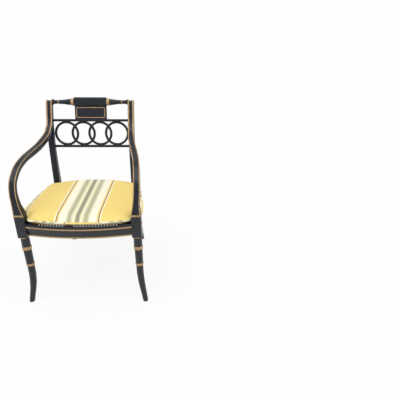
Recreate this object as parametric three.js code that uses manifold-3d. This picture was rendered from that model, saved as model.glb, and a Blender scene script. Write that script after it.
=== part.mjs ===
// Open-back armchair: sabre legs, swept arms, a back of four interlaced rings, a caned seat
// and a loose squab cushion. Millimetres, +Z up. The chair faces -Y, and left and right are
// as seen from the front. The row's origin is the middle of the footprint, on the floor.

import * as THREE from 'three';
import { mergeVertices } from 'three/addons/utils/BufferGeometryUtils.js';
import Module from 'manifold-3d';

const wasm = await Module();
wasm.setup();

// Driving dimensions of the frame
const seatHeight = 430;          // top of the seat rails
const postHeight = 840;          // end of the post's centreline, inside its roll
const postSpread = 410;          // between the centrelines of the two posts
const legSpread = 522;           // between the centrelines of the two front legs
const seatDepth = 388;           // from the front plane to the post's foremost point
const postSweep = 107;           // how far the post leans back from there to its top
const clearance = 0.3;           // gap between pieces that touch
const overrun = 6;               // how far a cutter runs past what it cuts

// Back posts
const postWidth = 30;            // width of the arms too
const postFootWidth = 26;
const postDepth = 39;            // front to back at the seat, where it is deepest
const rollRadius = 15;           // the roll at the top of the post
const rollSides = 24;
const cornerRound = 7;           // rounding of the back edges of posts and arms
const beadWidth = 7.5;           // the two beads along the front of posts and arms
const beadRise = 2;
const beadTurns = [0, 60, 120, 180];   // degrees round a bead, and round a back corner
const cornerTurns = [0, 45, 90];
// Places along the post's centreline: share of postSweep behind seatDepth, share of postHeight
const postPathShares = [
  [1.061, -0.024], [0.972, 0], [0.606, 0.1075], [0.28, 0.226], [0.075, 0.339], [0, 0.425],
  [0.034, 0.481], [0.084, 0.5225], [0.187, 0.643], [0.308, 0.754], [0.458, 0.833],
  [0.645, 0.905], [0.832, 0.96], [1, 1],
];
const postDepthShares = [[0, 0.68], [0.3, 0.9], [0.45, 1], [0.54, 0.97], [0.75, 0.71], [1, 0.77]];
const postStationShares = [
  -0.02, 0, 0.06, 0.12, 0.18, 0.24, 0.3, 0.36, 0.41, 0.45, 0.49, 0.53, 0.58, 0.64, 0.7,
  0.75, 0.79, 0.83, 0.86, 0.89, 0.92, 0.95, 0.975, 1,
];

// Front legs and their blocks
const blockWidth = 44;
const blockDepth = 42;
const blockRise = 37;            // block's top above the seat
const blockHeight = 107;
const blockSetback = 4;          // block's front face at its top, behind the front plane
const blockLean = 10;            // how far its foot stands forward of its top
const blockChamfer = 1.5;
const legDiameter = 40;
const legFlare = 20;             // sideways sweep of the foot
const legKick = 49;              // forward sweep of the foot from the block's foot
const legSides = 16;
// Places down the leg: share of the leg's height, of legFlare and of legKick
const legPathShares = [
  [1.04, 0, -0.02], [0.94, 0, 0.03], [0.83, 0, 0.094], [0.69, 0, 0.173], [0.556, 0, 0.245],
  [0.417, 0.025, 0.327], [0.347, 0.1, 0.384], [0.278, 0.21, 0.465], [0.208, 0.38, 0.573],
  [0.139, 0.59, 0.7], [0.07, 0.82, 0.85], [0, 1.03, 1], [-0.06, 1.22, 1.13],
];
// Turned profile: share of the leg's height, share of legDiameter
const legProfileShares = [
  [1.03, 0.94], [1.0, 0.94], [0.999, 1.02], [0.984, 1.02], [0.982, 0.94], [0.9, 1],
  [0.853, 1], [0.85, 1.06], [0.842, 1.09], [0.816, 1.09], [0.808, 1.05], [0.805, 0.95],
  [0.69, 0.92], [0.591, 0.9], [0.588, 0.94], [0.58, 0.97], [0.566, 0.97], [0.558, 0.94],
  [0.555, 0.83], [0.42, 0.83], [0.28, 0.79], [0.14, 0.7], [0.06, 0.65], [-0.05, 0.61],
];

// Arms
const armDepth = 28;
const armDrop = 72;              // upper end of the arm below the top of the post
const armHousing = 6;            // how deep the arm is let into the post
const armStations = 30;
const armBaseHeight = 10;        // upright foot of the arm, on the block
// Midline of the arm's front face from its upper end to its base: sideways share of the way
// from the post to the leg, share of the way forward, share of the way down
const armPathShares = [
  [0, 0, 0], [0, 0.04, 0.082], [0.036, 0.079, 0.133], [0.054, 0.121, 0.167],
  [0.107, 0.17, 0.195], [0.179, 0.221, 0.215], [0.375, 0.333, 0.253], [0.625, 0.461, 0.276],
  [0.893, 0.609, 0.3], [1.089, 0.77, 0.365], [1.179, 0.896, 0.498], [1.179, 0.936, 0.59],
  [1.161, 0.963, 0.693], [1.107, 0.98, 0.799], [1.054, 0.993, 0.904], [1, 1, 1],
];
// Along the arm: share of its length, share of the way from the post's width to the block's,
// share of the way from armDepth to the block's depth
const armFlareShares = [
  [0, 0, -0.28], [0.12, 0, 0], [0.78, 0, 0], [0.86, 0.05, 0.1], [0.92, 0.2, 0.35],
  [0.96, 0.5, 0.7], [1, 1, 1],
];
const dowelDiameter = 10;
const dowelLength = 50;
const dowelSides = 12;

// Seat rails
const railHeight = 66;
const railThickness = 26;
const rearRailThickness = 24;
const railBow = 25;              // how far the front rail swells forward
const railStations = 16;
const lineHeight = 7;            // the raised lines along the rails
const lineRise = 1.2;
const noseHeight = 14;           // from the rail's top to its upper line's middle
const fasciaSetback = 7;         // lower line behind the upper one
const tenonLength = 13;
const tenonThickness = 10;
const tenonShoulder = 9;         // height of a rail tenon's shoulders, above and below

// Back slats and rings
const upperSlatDrop = 78;        // upper slat below the top of the post
const slatSetback = 9;           // slats behind the centreline of the posts
const slatPitch = 131.2;         // between the two slats, along the back
const slatThickness = 12;
const slatDepth = 14;
const slatTenonLength = 10;
const slatShoulder = 1.5;
const ringCount = 4;
const ringBar = 12;
const ringHousing = 2.4;        // how deep the rings are let into the slats
const ringDepth = 10;
const ringSteps = 24;            // segments of half a ring
const ringGap = 1;               // between the outer rings and the posts
const pinDiameter = 3;
const pinReach = 5;              // how far a pin goes into its ring

// Crest rail
const crestRise = 3.5;           // crest's axis above the end of the post's centreline
const crestSetback = 4;          // and behind it
const tabletLength = 162;
const tabletHeight = 43;
const tabletRise = 1.5;          // tablet's middle above the crest's axis
const tabletDepth = 28;
const tabletRound = 7;
const crestDiameter = 37;        // over the large beads
const crestSides = 16;
const crestTenonLength = 12;
const crestTenonDiameter = 12;
// Turned end: share of the way from the tablet to the post, share of crestDiameter
const crestProfileShares = [
  [0, 0.86], [0.012, 0.94], [0.04, 1], [0.115, 1], [0.145, 0.94], [0.156, 0.82], [0.165, 0.85],
  [0.23, 0.81], [0.34, 0.72], [0.45, 0.63], [0.56, 0.575], [0.67, 0.54], [0.737, 0.52],
  [0.742, 0.56], [0.755, 0.58], [0.775, 0.58], [0.788, 0.56], [0.793, 0.5], [0.86, 0.51],
  [0.93, 0.6], [1, 0.76],
];
const panelLength = 159.8;
const panelThickness = 12;
const panelSetback = 1;          // middle of the panel behind the crest's axis
const tongueThickness = 5;
const tongueHeight = 7;

// Cane seat
const caneInset = 13;            // row of holes inside the rails' outer faces
const caneThickness = 1.6;
const bindingWidth = 5;
const bindingThickness = 1;
const outlineSteps = 10;         // steps along half of the bowed front
const frontCornerShare = 0.3;    // of the way back along the block where the corner ends
const sideStepShares = [0.12, 0.3, 0.55, 0.8];

// Corner blocks and screws
const cornerHeight = 34;
const cornerDrop = 10;           // top of the corner blocks below the seat
const cornerReach = 58;          // along each rail
const screwLength = 28;
const armScrewLength = 34;
const screwHead = 8;
const screwShank = 4;
const screwHeadHeight = 3;
const screwTip = 7;
const screwSides = 10;
const screwSink = 5;             // head below the surface it enters
// Screw places of the front and rear corner blocks, as shares of cornerReach: one screw goes
// into the front or rear rail, the other into the side rail
const frontScrewShares = [[0.6, 0.27], [0.03, 0.55]];
const rearScrewShares = [[0.45, 0.28], [0.02, 0.6]];
const armScrewDrop = 55;         // arm screw below the arm's upper end

// Cushion
const cushionInset = 15;         // front edge behind the rail's face
const cushionSideInset = -9;     // it swells a little past the side rails
const cushionRearInset = 1;
const cushionRelief = 5;         // clear space round the leg blocks and posts
const cushionDraw = 14;          // its front corners are drawn in behind the blocks
const cushionEdge = 15.5;        // welt's middle above the seat
const cushionCrown = 21;         // top of the crown above the welt
const weltDiameter = 8;
// Its rear right corner and rear edge: share of the way across to the post, share of the way
// back from the post's front to the rear edge
const cushionRearShares = [
  [1.25, -0.59], [1.2, -0.27], [1.125, -0.11], [1.04, -0.02], [0.96, 0.2], [0.81, 0.48],
  [0.59, 0.76], [0.32, 0.95], [0, 1],
];
// Shells of the cushion from the middle of its underside, over the welt, to the top of its
// crown: share of the outline's reach, height from seat (0) to welt (1) to crown (2)
const cushionShellShares = [
  [0.45, 0], [0.9, 0], [0.96, 0.3], [0.985, 0.6],
  [0.975, 1.33], [0.955, 1.56], [0.925, 1.78], [0.88, 1.91], [0.75, 1.98], [0.5, 2], [0.25, 2],
];

// Shells round the welt: share of the outline's reach, height above its middle in welt radii
const weltShellShares = [[0.99, -1.25], [1, -1], [1, 1], [0.985, 1.3]];

const ebonised = { color: 0x26272b, roughness: 0.34, metalness: 0 };
const materials = {
  frame: new THREE.MeshStandardMaterial(ebonised),
  beech: new THREE.MeshStandardMaterial({ color: 0xb88f5e, roughness: 0.7, metalness: 0 }),
  cane: new THREE.MeshStandardMaterial({ color: 0xcfae74, roughness: 0.6, metalness: 0 }),
  cloth: new THREE.MeshStandardMaterial({ color: 0xf0cf80, roughness: 0.85, metalness: 0 }),
  steel: new THREE.MeshStandardMaterial({ color: 0x8d8b86, roughness: 0.4, metalness: 0.9 }),
};

// Values that follow from the sizes above
const postX = postSpread / 2;
const postInner = postX - postWidth / 2;
const legX = legSpread / 2;
const blockTop = seatHeight + blockRise;
const blockFoot = blockTop - blockHeight;
const blockInner = legX - blockWidth / 2;
const blockBack = blockSetback + blockDepth;
const railFoot = seatHeight - railHeight;
const across = new THREE.Vector3(1, 0, 0);
const backward = new THREE.Vector3(0, 1, 0);

// Reads a table of [place, value, ...] rows at a place, straight between the rows
function readTable(rows, place, column = 1) {
  const next = rows.findIndex((row) => row[0] >= place);
  if (next === 0) return rows[0][column];
  if (next < 0) return rows[rows.length - 1][column];
  const [low, high] = [rows[next - 1], rows[next]];
  return THREE.MathUtils.lerp(low[column], high[column], (place - low[0]) / (high[0] - low[0]));
}

// A closed geometry as a solid that can be joined and cut
function solid(geometry) {
  const bare = geometry.clone();
  bare.deleteAttribute('normal');
  bare.deleteAttribute('uv');
  const merged = mergeVertices(bare);
  return new wasm.Manifold(new wasm.Mesh({
    numProp: 3,
    vertProperties: merged.attributes.position.array,
    triVerts: new Uint32Array(merged.index.array),
  }));
}

function geometryOf(body) {
  const mesh = body.getMesh();
  const geometry = new THREE.BufferGeometry();
  geometry.setAttribute('position', new THREE.BufferAttribute(mesh.vertProperties, 3));
  geometry.setIndex(new THREE.BufferAttribute(mesh.triVerts, 1));
  return geometry;
}

// One closed skin over rings of equally many points, with a fan over each end
function loft(rings) {
  const count = rings[0].length;
  const points = rings.flat();
  const faces = [];
  for (let ring = 0; ring < rings.length - 1; ring += 1) {
    for (let i = 0; i < count; i += 1) {
      const a = ring * count + i;
      const b = ring * count + ((i + 1) % count);
      faces.push(a, b, b + count, a, b + count, a + count);
    }
  }
  for (const end of [0, rings.length - 1]) {
    const middle = rings[end].reduce((sum, point) => sum.add(point), new THREE.Vector3());
    points.push(middle.divideScalar(count));
    for (let i = 0; i < count; i += 1) {
      const pair = [end * count + i, end * count + ((i + 1) % count)];
      if (end === 0) pair.reverse();
      faces.push(points.length - 1, ...pair);
    }
  }
  const volume = faces.reduce((sum, _, i) => (i % 3 ? sum : sum
    + points[faces[i]].dot(points[faces[i + 1]].clone().cross(points[faces[i + 2]]))), 0);
  const geometry = new THREE.BufferGeometry();
  geometry.setAttribute('position', new THREE.Float32BufferAttribute(points.flatMap((p) => p.toArray()), 3));
  geometry.setIndex(volume > 0 ? faces : faces.reverse());
  return geometry;
}

function block(low, high) {
  const geometry = new THREE.BoxGeometry(high[0] - low[0], high[1] - low[1], high[2] - low[2]);
  return geometry.translate((low[0] + high[0]) / 2, (low[1] + high[1]) / 2, (low[2] + high[2]) / 2);
}

// Moves a geometry made along +Y so that it starts at a point and runs in a direction
function aimed(geometry, start, direction) {
  const turn = new THREE.Quaternion().setFromUnitVectors(backward, direction.clone().normalize());
  return geometry.clone().applyQuaternion(turn).translate(start.x, start.y, start.z);
}

function mirrored(geometry) {
  const copy = geometry.index ? geometry.toNonIndexed() : geometry.clone();
  const position = copy.attributes.position;
  for (let i = 0; i < position.count; i += 3) {
    const first = new THREE.Vector3().fromBufferAttribute(position, i);
    const second = new THREE.Vector3().fromBufferAttribute(position, i + 1);
    position.setXYZ(i, second.x, second.y, second.z);
    position.setXYZ(i + 1, first.x, first.y, first.z);
  }
  return copy.applyMatrix4(new THREE.Matrix4().makeScale(-1, 1, 1));
}

// Section of a post or an arm as [across, back] points: a bead along each front edge,
// a field between them and rounded back corners
function memberSection(width, depth, rise, grow = 0) {
  const half = width / 2;
  const round = Math.min(cornerRound, depth / 3);
  const right = beadTurns.map((degrees) => {
    const angle = THREE.MathUtils.degToRad(degrees);
    const middle = half - beadWidth / 2;
    return [middle - (beadWidth / 2) * Math.cos(angle), rise * (1 - Math.sin(angle)) - grow];
  });
  right[right.length - 1][0] += grow;
  for (const degrees of cornerTurns) {
    const angle = THREE.MathUtils.degToRad(degrees);
    const reachOut = round + grow;
    right.push([half - round + reachOut * Math.cos(angle), depth - round + reachOut * Math.sin(angle)]);
  }
  const left = right.map(([a, b]) => [-a, b]).reverse();
  return [...right, ...left];
}

// Places a section: its front edge's middle at `front`, its depth along `back`
function placedSection(section, front, side, back) {
  return section.map(([a, b]) => front.clone().addScaledVector(side, a).addScaledVector(back, b));
}

// Back post

const postCurve = new THREE.CatmullRomCurve3(postPathShares.map(
  ([sweep, height]) => new THREE.Vector3(postX, seatDepth + sweep * postSweep, height * postHeight)));

// Centre, back direction and depth of the post at a height
function postAt(height) {
  let [low, high] = [0, 1];
  for (let step = 0; step < 40; step += 1) {
    const middle = (low + high) / 2;
    if (postCurve.getPoint(middle).z < height) low = middle;
    else high = middle;
  }
  const centre = postCurve.getPoint(low);
  const up = postCurve.getTangent(low);
  const back = new THREE.Vector3(0, up.z, -up.y);
  const depth = postDepth * readTable(postDepthShares, height / postHeight);
  return { centre, up, back, depth, front: centre.clone().addScaledVector(back, -depth / 2) };
}

const armTop = postHeight - armDrop;
const reach = postHeight;        // larger than any piece that a cutter has to pass
const underFloor = solid(block([-reach, -reach, -reach], [reach, reach, 0]));

// The post's body; with a setback its front moves back and its sides and back move out, so
// that it can cut an arm off inside the post
function postBody(grow = 0, setback = 0) {
  return solid(loft(postStationShares.map((station) => {
    const height = station * postHeight;
    const place = postAt(height);
    const share = Math.min(height / railFoot, 1);
    const width = THREE.MathUtils.lerp(postFootWidth, postWidth, share) + (setback ? 2 * overrun : 0);
    const rise = height > armTop - armDrop ? beadRise : 0;
    const depth = place.depth + (setback ? 2 * overrun - setback : 0);
    const section = memberSection(width, depth, setback ? 0 : rise, grow);
    const front = place.front.clone().addScaledVector(place.back, setback);
    return placedSection(section, front, across, place.back);
  })));
}

function postRoll() {
  const place = postAt(postHeight);
  const roll = new THREE.CylinderGeometry(rollRadius, rollRadius, postWidth, rollSides);
  const centre = place.front.clone().addScaledVector(place.back, rollRadius);
  return solid(aimed(roll, centre, across));
}

// Arm

const armStart = postAt(armTop).front;
const armEnd = new THREE.Vector3(legX, blockSetback, blockTop + armBaseHeight);
const armCurve = new THREE.CatmullRomCurve3(armPathShares.map(([side, forward, down]) => new THREE.Vector3(
  THREE.MathUtils.lerp(armStart.x, armEnd.x, side),
  THREE.MathUtils.lerp(armStart.y, armEnd.y, forward),
  THREE.MathUtils.lerp(armStart.z, armEnd.z, down))));

function armBody(grow = 0) {
  const rings = [];
  for (let station = 0; station <= armStations; station += 1) {
    const share = station / armStations;
    const tangent = armCurve.getTangentAt(share);
    const side = across.clone().addScaledVector(tangent, -tangent.x).normalize();
    const back = tangent.clone().cross(side).normalize();
    back.multiplyScalar(Math.sign(back.y - back.z));
    const widen = readTable(armFlareShares, share, 1);
    const deepen = readTable(armFlareShares, share, 2);
    back.lerp(backward, deepen ** 2).normalize();
    side.lerp(across, widen).normalize();
    const section = memberSection(
      THREE.MathUtils.lerp(postWidth, blockWidth, widen),
      THREE.MathUtils.lerp(armDepth, blockDepth, deepen), beadRise, grow);
    const front = armCurve.getPointAt(share);
    if (station === 0) front.addScaledVector(tangent, -grow);
    rings.push(placedSection(section, front, side, back));
  }
  const foot = rings[rings.length - 1].map((point) => point.clone().setZ(blockTop + clearance - grow));
  return solid(loft([...rings, foot]));
}

// Front leg with its block

const legCurve = new THREE.CatmullRomCurve3(legPathShares.map(([height, flare, kick]) => new THREE.Vector3(
  legX + flare * legFlare,
  blockBack - blockDepth / 2 - blockLean - kick * legKick,
  height * blockFoot)));

function blockBody(grow = 0) {
  const half = blockWidth / 2 + grow;
  const cut = blockChamfer;
  const plan = [[half, cut], [half - cut, 0], [cut - half, 0], [-half, cut]];
  const ring = (height, forward) => {
    const front = blockSetback - forward - grow;
    const back = blockBack - forward + grow;
    return [...plan.map(([x, y]) => new THREE.Vector3(legX + x, front + y, height)),
      ...plan.map(([x, y]) => new THREE.Vector3(legX - x, back - y, height))];
  };
  return solid(loft([ring(blockTop, 0), ring(blockFoot, blockLean)]));
}

function legBody() {
  const rings = legProfileShares.map(([height, share]) => {
    let [low, high] = [0, 1];
    for (let step = 0; step < 40; step += 1) {
      const middle = (low + high) / 2;
      if (legCurve.getPoint(middle).z > height * blockFoot) low = middle;
      else high = middle;
    }
    const centre = legCurve.getPoint(low);
    const down = legCurve.getTangent(low);
    const side = across.clone().addScaledVector(down, -down.x).normalize();
    const back = side.clone().cross(down).normalize();
    const points = [];
    for (let i = 0; i < legSides; i += 1) {
      const angle = (2 * Math.PI * i) / legSides;
      const radius = (legDiameter * share) / 2;
      points.push(centre.clone().addScaledVector(side, radius * Math.cos(angle))
        .addScaledVector(back, radius * Math.sin(angle)));
    }
    return points;
  });
  return solid(loft(rings)).subtract(underFloor).add(blockBody());
}

// Seat rails

const bowAt = (x) => -railBow * (1 - (x / blockInner) ** 2);

// Section of a rail as [back, height] points, from its top's back edge over its front
function railSection(grow = 0) {
  const upper = seatHeight - noseHeight;
  const lower = railFoot + lineHeight / 2 + lineRise;
  const half = lineHeight / 2;
  return [
    [railThickness + grow, seatHeight + grow], [lineHeight - grow, seatHeight + grow],
    [2 * lineRise - grow, seatHeight - lineRise], [lineRise - grow, seatHeight - 3 * lineRise],
    [lineRise - grow, upper + half], [-grow, upper + half - lineRise],
    [-grow, upper - half + lineRise], [lineRise - grow, upper - half],
    [fasciaSetback + lineRise - grow, lower + half], [fasciaSetback - grow, lower + half - lineRise],
    [fasciaSetback - grow, lower - half + lineRise], [fasciaSetback + lineRise - grow, railFoot - grow],
    [railThickness + grow, railFoot - grow],
  ];
}

function frontRailBody(grow = 0) {
  const end = blockInner - clearance;
  const rings = [];
  for (let station = 0; station <= railStations; station += 1) {
    const x = THREE.MathUtils.lerp(-end, end, station / railStations);
    rings.push(railSection(grow).map(([back, height]) => new THREE.Vector3(x, bowAt(x) + back, height)));
  }
  return solid(loft(rings));
}

// Tenon at the right end of the front rail
function frontRailTenon(grow = 0) {
  const middle = (fasciaSetback + lineRise + railThickness) / 2;
  return block(
    [blockInner - overrun, middle - tenonThickness / 2 - grow, railFoot + tenonShoulder - grow],
    [blockInner + tenonLength + grow, middle + tenonThickness / 2 + grow, seatHeight - tenonShoulder + grow]);
}

const railHead = postAt(seatHeight - railHeight / 2);
const sideFront = new THREE.Vector3(legX + blockWidth / 2, blockBack, 0);
const sideBack = new THREE.Vector3(postX + postWidth / 2, railHead.front.y, 0);
// Outer face of the right side rail at a distance behind the front plane
const sideAt = (y) => THREE.MathUtils.mapLinear(y, sideFront.y, sideBack.y, sideFront.x, sideBack.x);

function sideRailBody(grow = 0) {
  const rings = [blockBack - blockDepth / 3, railHead.front.y + railHead.depth / 3].map((y) => (
    railSection(grow).map(([back, height]) => new THREE.Vector3(sideAt(y) - back, y, height))));
  return solid(loft(rings));
}

function sideRailCore(grow = 0) {
  const ends = [blockBack - blockLean / 2 - tenonLength - grow, railHead.front.y + tenonLength + grow];
  const low = railFoot + tenonShoulder - grow;
  const high = seatHeight - tenonShoulder + grow;
  const outer = fasciaSetback + lineRise - grow;
  const inner = fasciaSetback + lineRise + tenonThickness + grow;
  const rings = ends.map((y) => [[outer, low], [inner, low], [inner, high], [outer, high]].map(
    ([back, height]) => new THREE.Vector3(sideAt(y) - back, y, height)));
  return solid(loft(rings));
}

const rearRailY = railHead.centre.y;

function rearRailBody(grow = 0) {
  const end = postInner - clearance;
  return solid(block(
    [-end, rearRailY - rearRailThickness / 2 - grow, railFoot - grow],
    [end, rearRailY + rearRailThickness / 2 + grow, seatHeight + grow]));
}

function rearRailCore(grow = 0) {
  const end = postInner + tenonLength - overrun / 3 + grow;
  return solid(block(
    [-end, rearRailY - tenonThickness / 2 - grow, railFoot + tenonShoulder - grow],
    [end, rearRailY + tenonThickness / 2 + grow, seatHeight - tenonShoulder + grow]));
}

// Back rest: the plane of the slats and rings leans with the posts

// Place of a slat beside the post's centreline at a height
function slatPlace(height) {
  const place = postAt(height);
  return place.centre.addScaledVector(place.back, slatSetback);
}

const upperSlat = slatPlace(postHeight - upperSlatDrop);

// The lower slat stands one slat pitch down the post
function lowerSlatPlace() {
  let [low, high] = [seatHeight, upperSlat.z];
  for (let step = 0; step < 40; step += 1) {
    const middle = (low + high) / 2;
    if (slatPlace(middle).distanceTo(upperSlat) > slatPitch) low = middle;
    else high = middle;
  }
  return slatPlace(low);
}

const lowerSlat = lowerSlatPlace();
const backRest = new THREE.Group();
backRest.position.set(0, lowerSlat.y, lowerSlat.z);
backRest.rotation.x = -Math.atan2(upperSlat.y - lowerSlat.y, upperSlat.z - lowerSlat.z);
backRest.updateMatrix();

// A slat's parts in the back rest's frame, at a height up the back
function slatBody(height, grow = 0) {
  const end = postInner - clearance;
  return solid(block(
    [-end, -slatDepth / 2 - grow, height - slatThickness / 2 - grow],
    [end, slatDepth / 2 + grow, height + slatThickness / 2 + grow]));
}

function slatCore(height, grow = 0) {
  const end = postInner + slatTenonLength + grow;
  return solid(block(
    [-end, -slatDepth / 2 + slatShoulder - grow, height - slatThickness / 2 + slatShoulder - grow],
    [end, slatDepth / 2 - slatShoulder + grow, height + slatThickness / 2 - slatShoulder + grow]));
}

const ringRadius = (slatPitch - slatThickness) / 2 + ringHousing;
const ringPitch = (2 * (postInner - ringGap - ringRadius)) / (ringCount - 1);
const ringX = (index) => (index - (ringCount - 1) / 2) * ringPitch;

function ringBody(index, grow = 0) {
  const shape = new THREE.Shape().absarc(0, 0, ringRadius + grow, 0, 2 * Math.PI);
  shape.holes.push(new THREE.Path().absarc(0, 0, ringRadius - ringBar - grow, 0, 2 * Math.PI, true));
  const geometry = new THREE.ExtrudeGeometry(shape, {
    depth: ringDepth, bevelEnabled: false, curveSegments: ringSteps,
  });
  geometry.translate(0, 0, -ringDepth / 2).rotateX(Math.PI / 2);
  return solid(geometry.translate(ringX(index), 0, slatPitch / 2));
}

// The front (-1) or back (+1) half of the rings' depth, with half of the joint's clearance
function ringHalf(side) {
  const near = -clearance / 2;
  return solid(side < 0 ? block([-reach, -reach, -reach], [reach, -near, reach])
    : block([-reach, near, -reach], [reach, reach, reach]));
}

// Pins run through each slat into the ring next to it
function pinBody(index, up, grow = 0) {
  const slat = up ? slatPitch : 0;
  const toRing = up ? -1 : 1;
  const length = slatThickness - ringHousing + pinReach + 2 * grow;
  const pin = new THREE.CylinderGeometry(pinDiameter / 2 + grow, pinDiameter / 2 + grow, length, dowelSides);
  const start = new THREE.Vector3(ringX(index), 0, slat - toRing * (slatThickness / 2 + grow));
  return solid(aimed(pin.translate(0, length / 2, 0), start, new THREE.Vector3(0, 0, toRing)));
}

// Crest rail: its frame has the rail's axis along X and leans from the upper slat to the axis

const crestAxis = postAt(postHeight).centre;
crestAxis.y += crestSetback;
crestAxis.z += crestRise;
const crest = new THREE.Group();
crest.position.set(0, crestAxis.y, crestAxis.z);
crest.rotation.x = -Math.atan2(crestAxis.y - upperSlat.y, crestAxis.z - upperSlat.z);
crest.updateMatrix();
const crestToSlat = Math.hypot(crestAxis.y - upperSlat.y, crestAxis.z - upperSlat.z);

function crestBody() {
  const start = tabletLength / 2;
  const end = postInner - clearance;
  const half = crestProfileShares.map(([along, share]) => new THREE.Vector2(
    (crestDiameter * share) / 2, THREE.MathUtils.lerp(start, end, along)));
  const other = half.map((point) => new THREE.Vector2(point.x, -point.y)).reverse();
  const profile = [new THREE.Vector2(0, -end), ...other, ...half, new THREE.Vector2(0, end)];
  const turned = new THREE.LatheGeometry(profile, crestSides);
  const shape = new THREE.Shape();
  const [x, y, round] = [tabletDepth / 2, tabletHeight / 2, tabletRound];
  shape.moveTo(-x + round, -y);
  shape.lineTo(x - round, -y).absarc(x - round, -y + round, round, -Math.PI / 2, 0);
  shape.lineTo(x, y - round).absarc(x - round, y - round, round, 0, Math.PI / 2);
  shape.lineTo(-x + round, y).absarc(-x + round, y - round, round, Math.PI / 2, Math.PI);
  shape.lineTo(-x, -y + round).absarc(-x + round, -y + round, round, Math.PI, 1.5 * Math.PI);
  const bevel = tabletRound / 4;
  const tablet = new THREE.ExtrudeGeometry(shape, {
    depth: tabletLength - 2 * bevel, curveSegments: 3, bevelSegments: 1,
    bevelSize: bevel, bevelThickness: bevel, bevelOffset: -bevel,
  });
  tablet.translate(0, 0, -tabletLength / 2 + bevel);
  tablet.rotateX(Math.PI / 2).rotateZ(Math.PI / 2).translate(0, 0, tabletRise);
  return solid(turned.rotateZ(-Math.PI / 2)).add(solid(tablet));
}

// Round tenon at the right end of the crest
function crestTenon(grow = 0) {
  const radius = crestTenonDiameter / 2 + grow;
  const length = crestTenonLength + tabletRound + grow;
  const tenon = new THREE.CylinderGeometry(radius, radius, length, dowelSides);
  tenon.translate(0, length / 2, 0);
  return aimed(tenon, new THREE.Vector3(postInner - tabletRound, 0, 0), across);
}

const tabletFoot = tabletRise - tabletHeight / 2;

function panelBody() {
  const y = panelThickness / 2;
  return solid(block(
    [-panelLength / 2, panelSetback - y, -crestToSlat],
    [panelLength / 2, panelSetback + y, tabletFoot - clearance]));
}

function panelTongue(grow = 0) {
  const half = panelLength / 2 - tongueHeight + grow;
  const y = tongueThickness / 2 + grow;
  return solid(block(
    [-half, panelSetback - y, tabletFoot - tongueHeight],
    [half, panelSetback + y, tabletFoot + tongueHeight + grow]));
}

const postFrontY = (relief) => railHead.front.y - relief - clearance;
const rearEdgeY = (inset) => rearRailY + rearRailThickness / 2 - inset;

// Front and right side of a seat outline, from the front's middle, as [x, y]; `draw` rounds
// its widest corner in, behind the block
function sideOutline({ front, side, relief, draw = 0 }) {
  const points = [];
  const end = blockInner - relief;
  const corner = end - relief;
  for (let step = 0; step <= outlineSteps; step += 1) {
    const x = (corner * step) / outlineSteps;
    points.push([x, bowAt(x) + front]);
  }
  const blockY = blockBack + relief;
  const postY = postFrontY(relief);
  points.push([end, THREE.MathUtils.lerp(bowAt(end) + front, blockY, frontCornerShare)], [end, blockY]);
  points.push([sideAt(blockY) - side - draw, blockY + relief]);
  for (const share of sideStepShares) {
    const y = THREE.MathUtils.lerp(blockY, postY, share);
    points.push([sideAt(y) - side - draw * Math.max(1 - share / sideStepShares[1], 0), y]);
  }
  return points;
}

function wholeOutline(half) {
  const other = half.slice(1, -1).map(([x, y]) => [-x, y]).reverse();
  return [...half, ...other].map(([x, y]) => new THREE.Vector2(x, y));
}

// The seat's outline, set in evenly and notched round the blocks and posts
function caneOutline(inset) {
  const postY = postFrontY(inset);
  const rearY = rearEdgeY(inset);
  return wholeOutline([
    ...sideOutline({ front: inset, side: inset, relief: inset }), [sideAt(postY) - inset, postY - inset],
    [postInner - inset, postY], [postInner - inset, rearY], [(postInner - inset) / 2, rearY], [0, rearY],
  ]);
}

function caneBody(grow = 0) {
  const shape = new THREE.Shape(caneOutline(caneInset - grow));
  const depth = caneThickness + (grow ? overrun : 0) + grow;
  const plate = new THREE.ExtrudeGeometry(shape, { depth, bevelEnabled: false });
  return solid(plate.translate(0, 0, seatHeight - caneThickness - grow));
}

function bindingBody() {
  const shape = new THREE.Shape(caneOutline(caneInset - bindingWidth / 2));
  shape.holes.push(new THREE.Path(caneOutline(caneInset + bindingWidth / 2).reverse()));
  const strip = new THREE.ExtrudeGeometry(shape, { depth: bindingThickness - clearance, bevelEnabled: false });
  return solid(strip.translate(0, 0, seatHeight + clearance));
}

// Screws: made along +Y from the head; grown ones also clear the way for the head
function screwBody(length, grow = 0) {
  const radius = screwShank / 2 + grow;
  const head = screwHead / 2 + grow;
  const top = grow ? -2 * screwLength : 0;
  return new THREE.LatheGeometry([
    [0, top], [head, top], [head, screwHeadHeight / 3 + grow], [radius, screwHeadHeight + grow],
    [radius, length - screwTip], [0, length + grow],
  ].map(([x, y]) => new THREE.Vector2(x, y)), screwSides);
}

// Corner blocks of the right side: a plan that reaches into the rails, cut back to them

const cornerTop = seatHeight - cornerDrop;
const cornerMiddle = cornerTop - cornerHeight / 2;

function cornerPlate(plan) {
  const shape = new THREE.Shape(plan.map(([x, y]) => new THREE.Vector2(x, y)));
  const plate = new THREE.ExtrudeGeometry(shape, { depth: cornerHeight, bevelEnabled: false });
  return solid(plate.translate(0, 0, cornerTop - cornerHeight));
}

// A screw's direction and the middle of its head, measured inwards from a corner
function screwPlace(along, x, y, [inward, away], side) {
  const head = new THREE.Vector3(x - inward * cornerReach, y + side * away * cornerReach, cornerMiddle);
  return { along, head };
}

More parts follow.
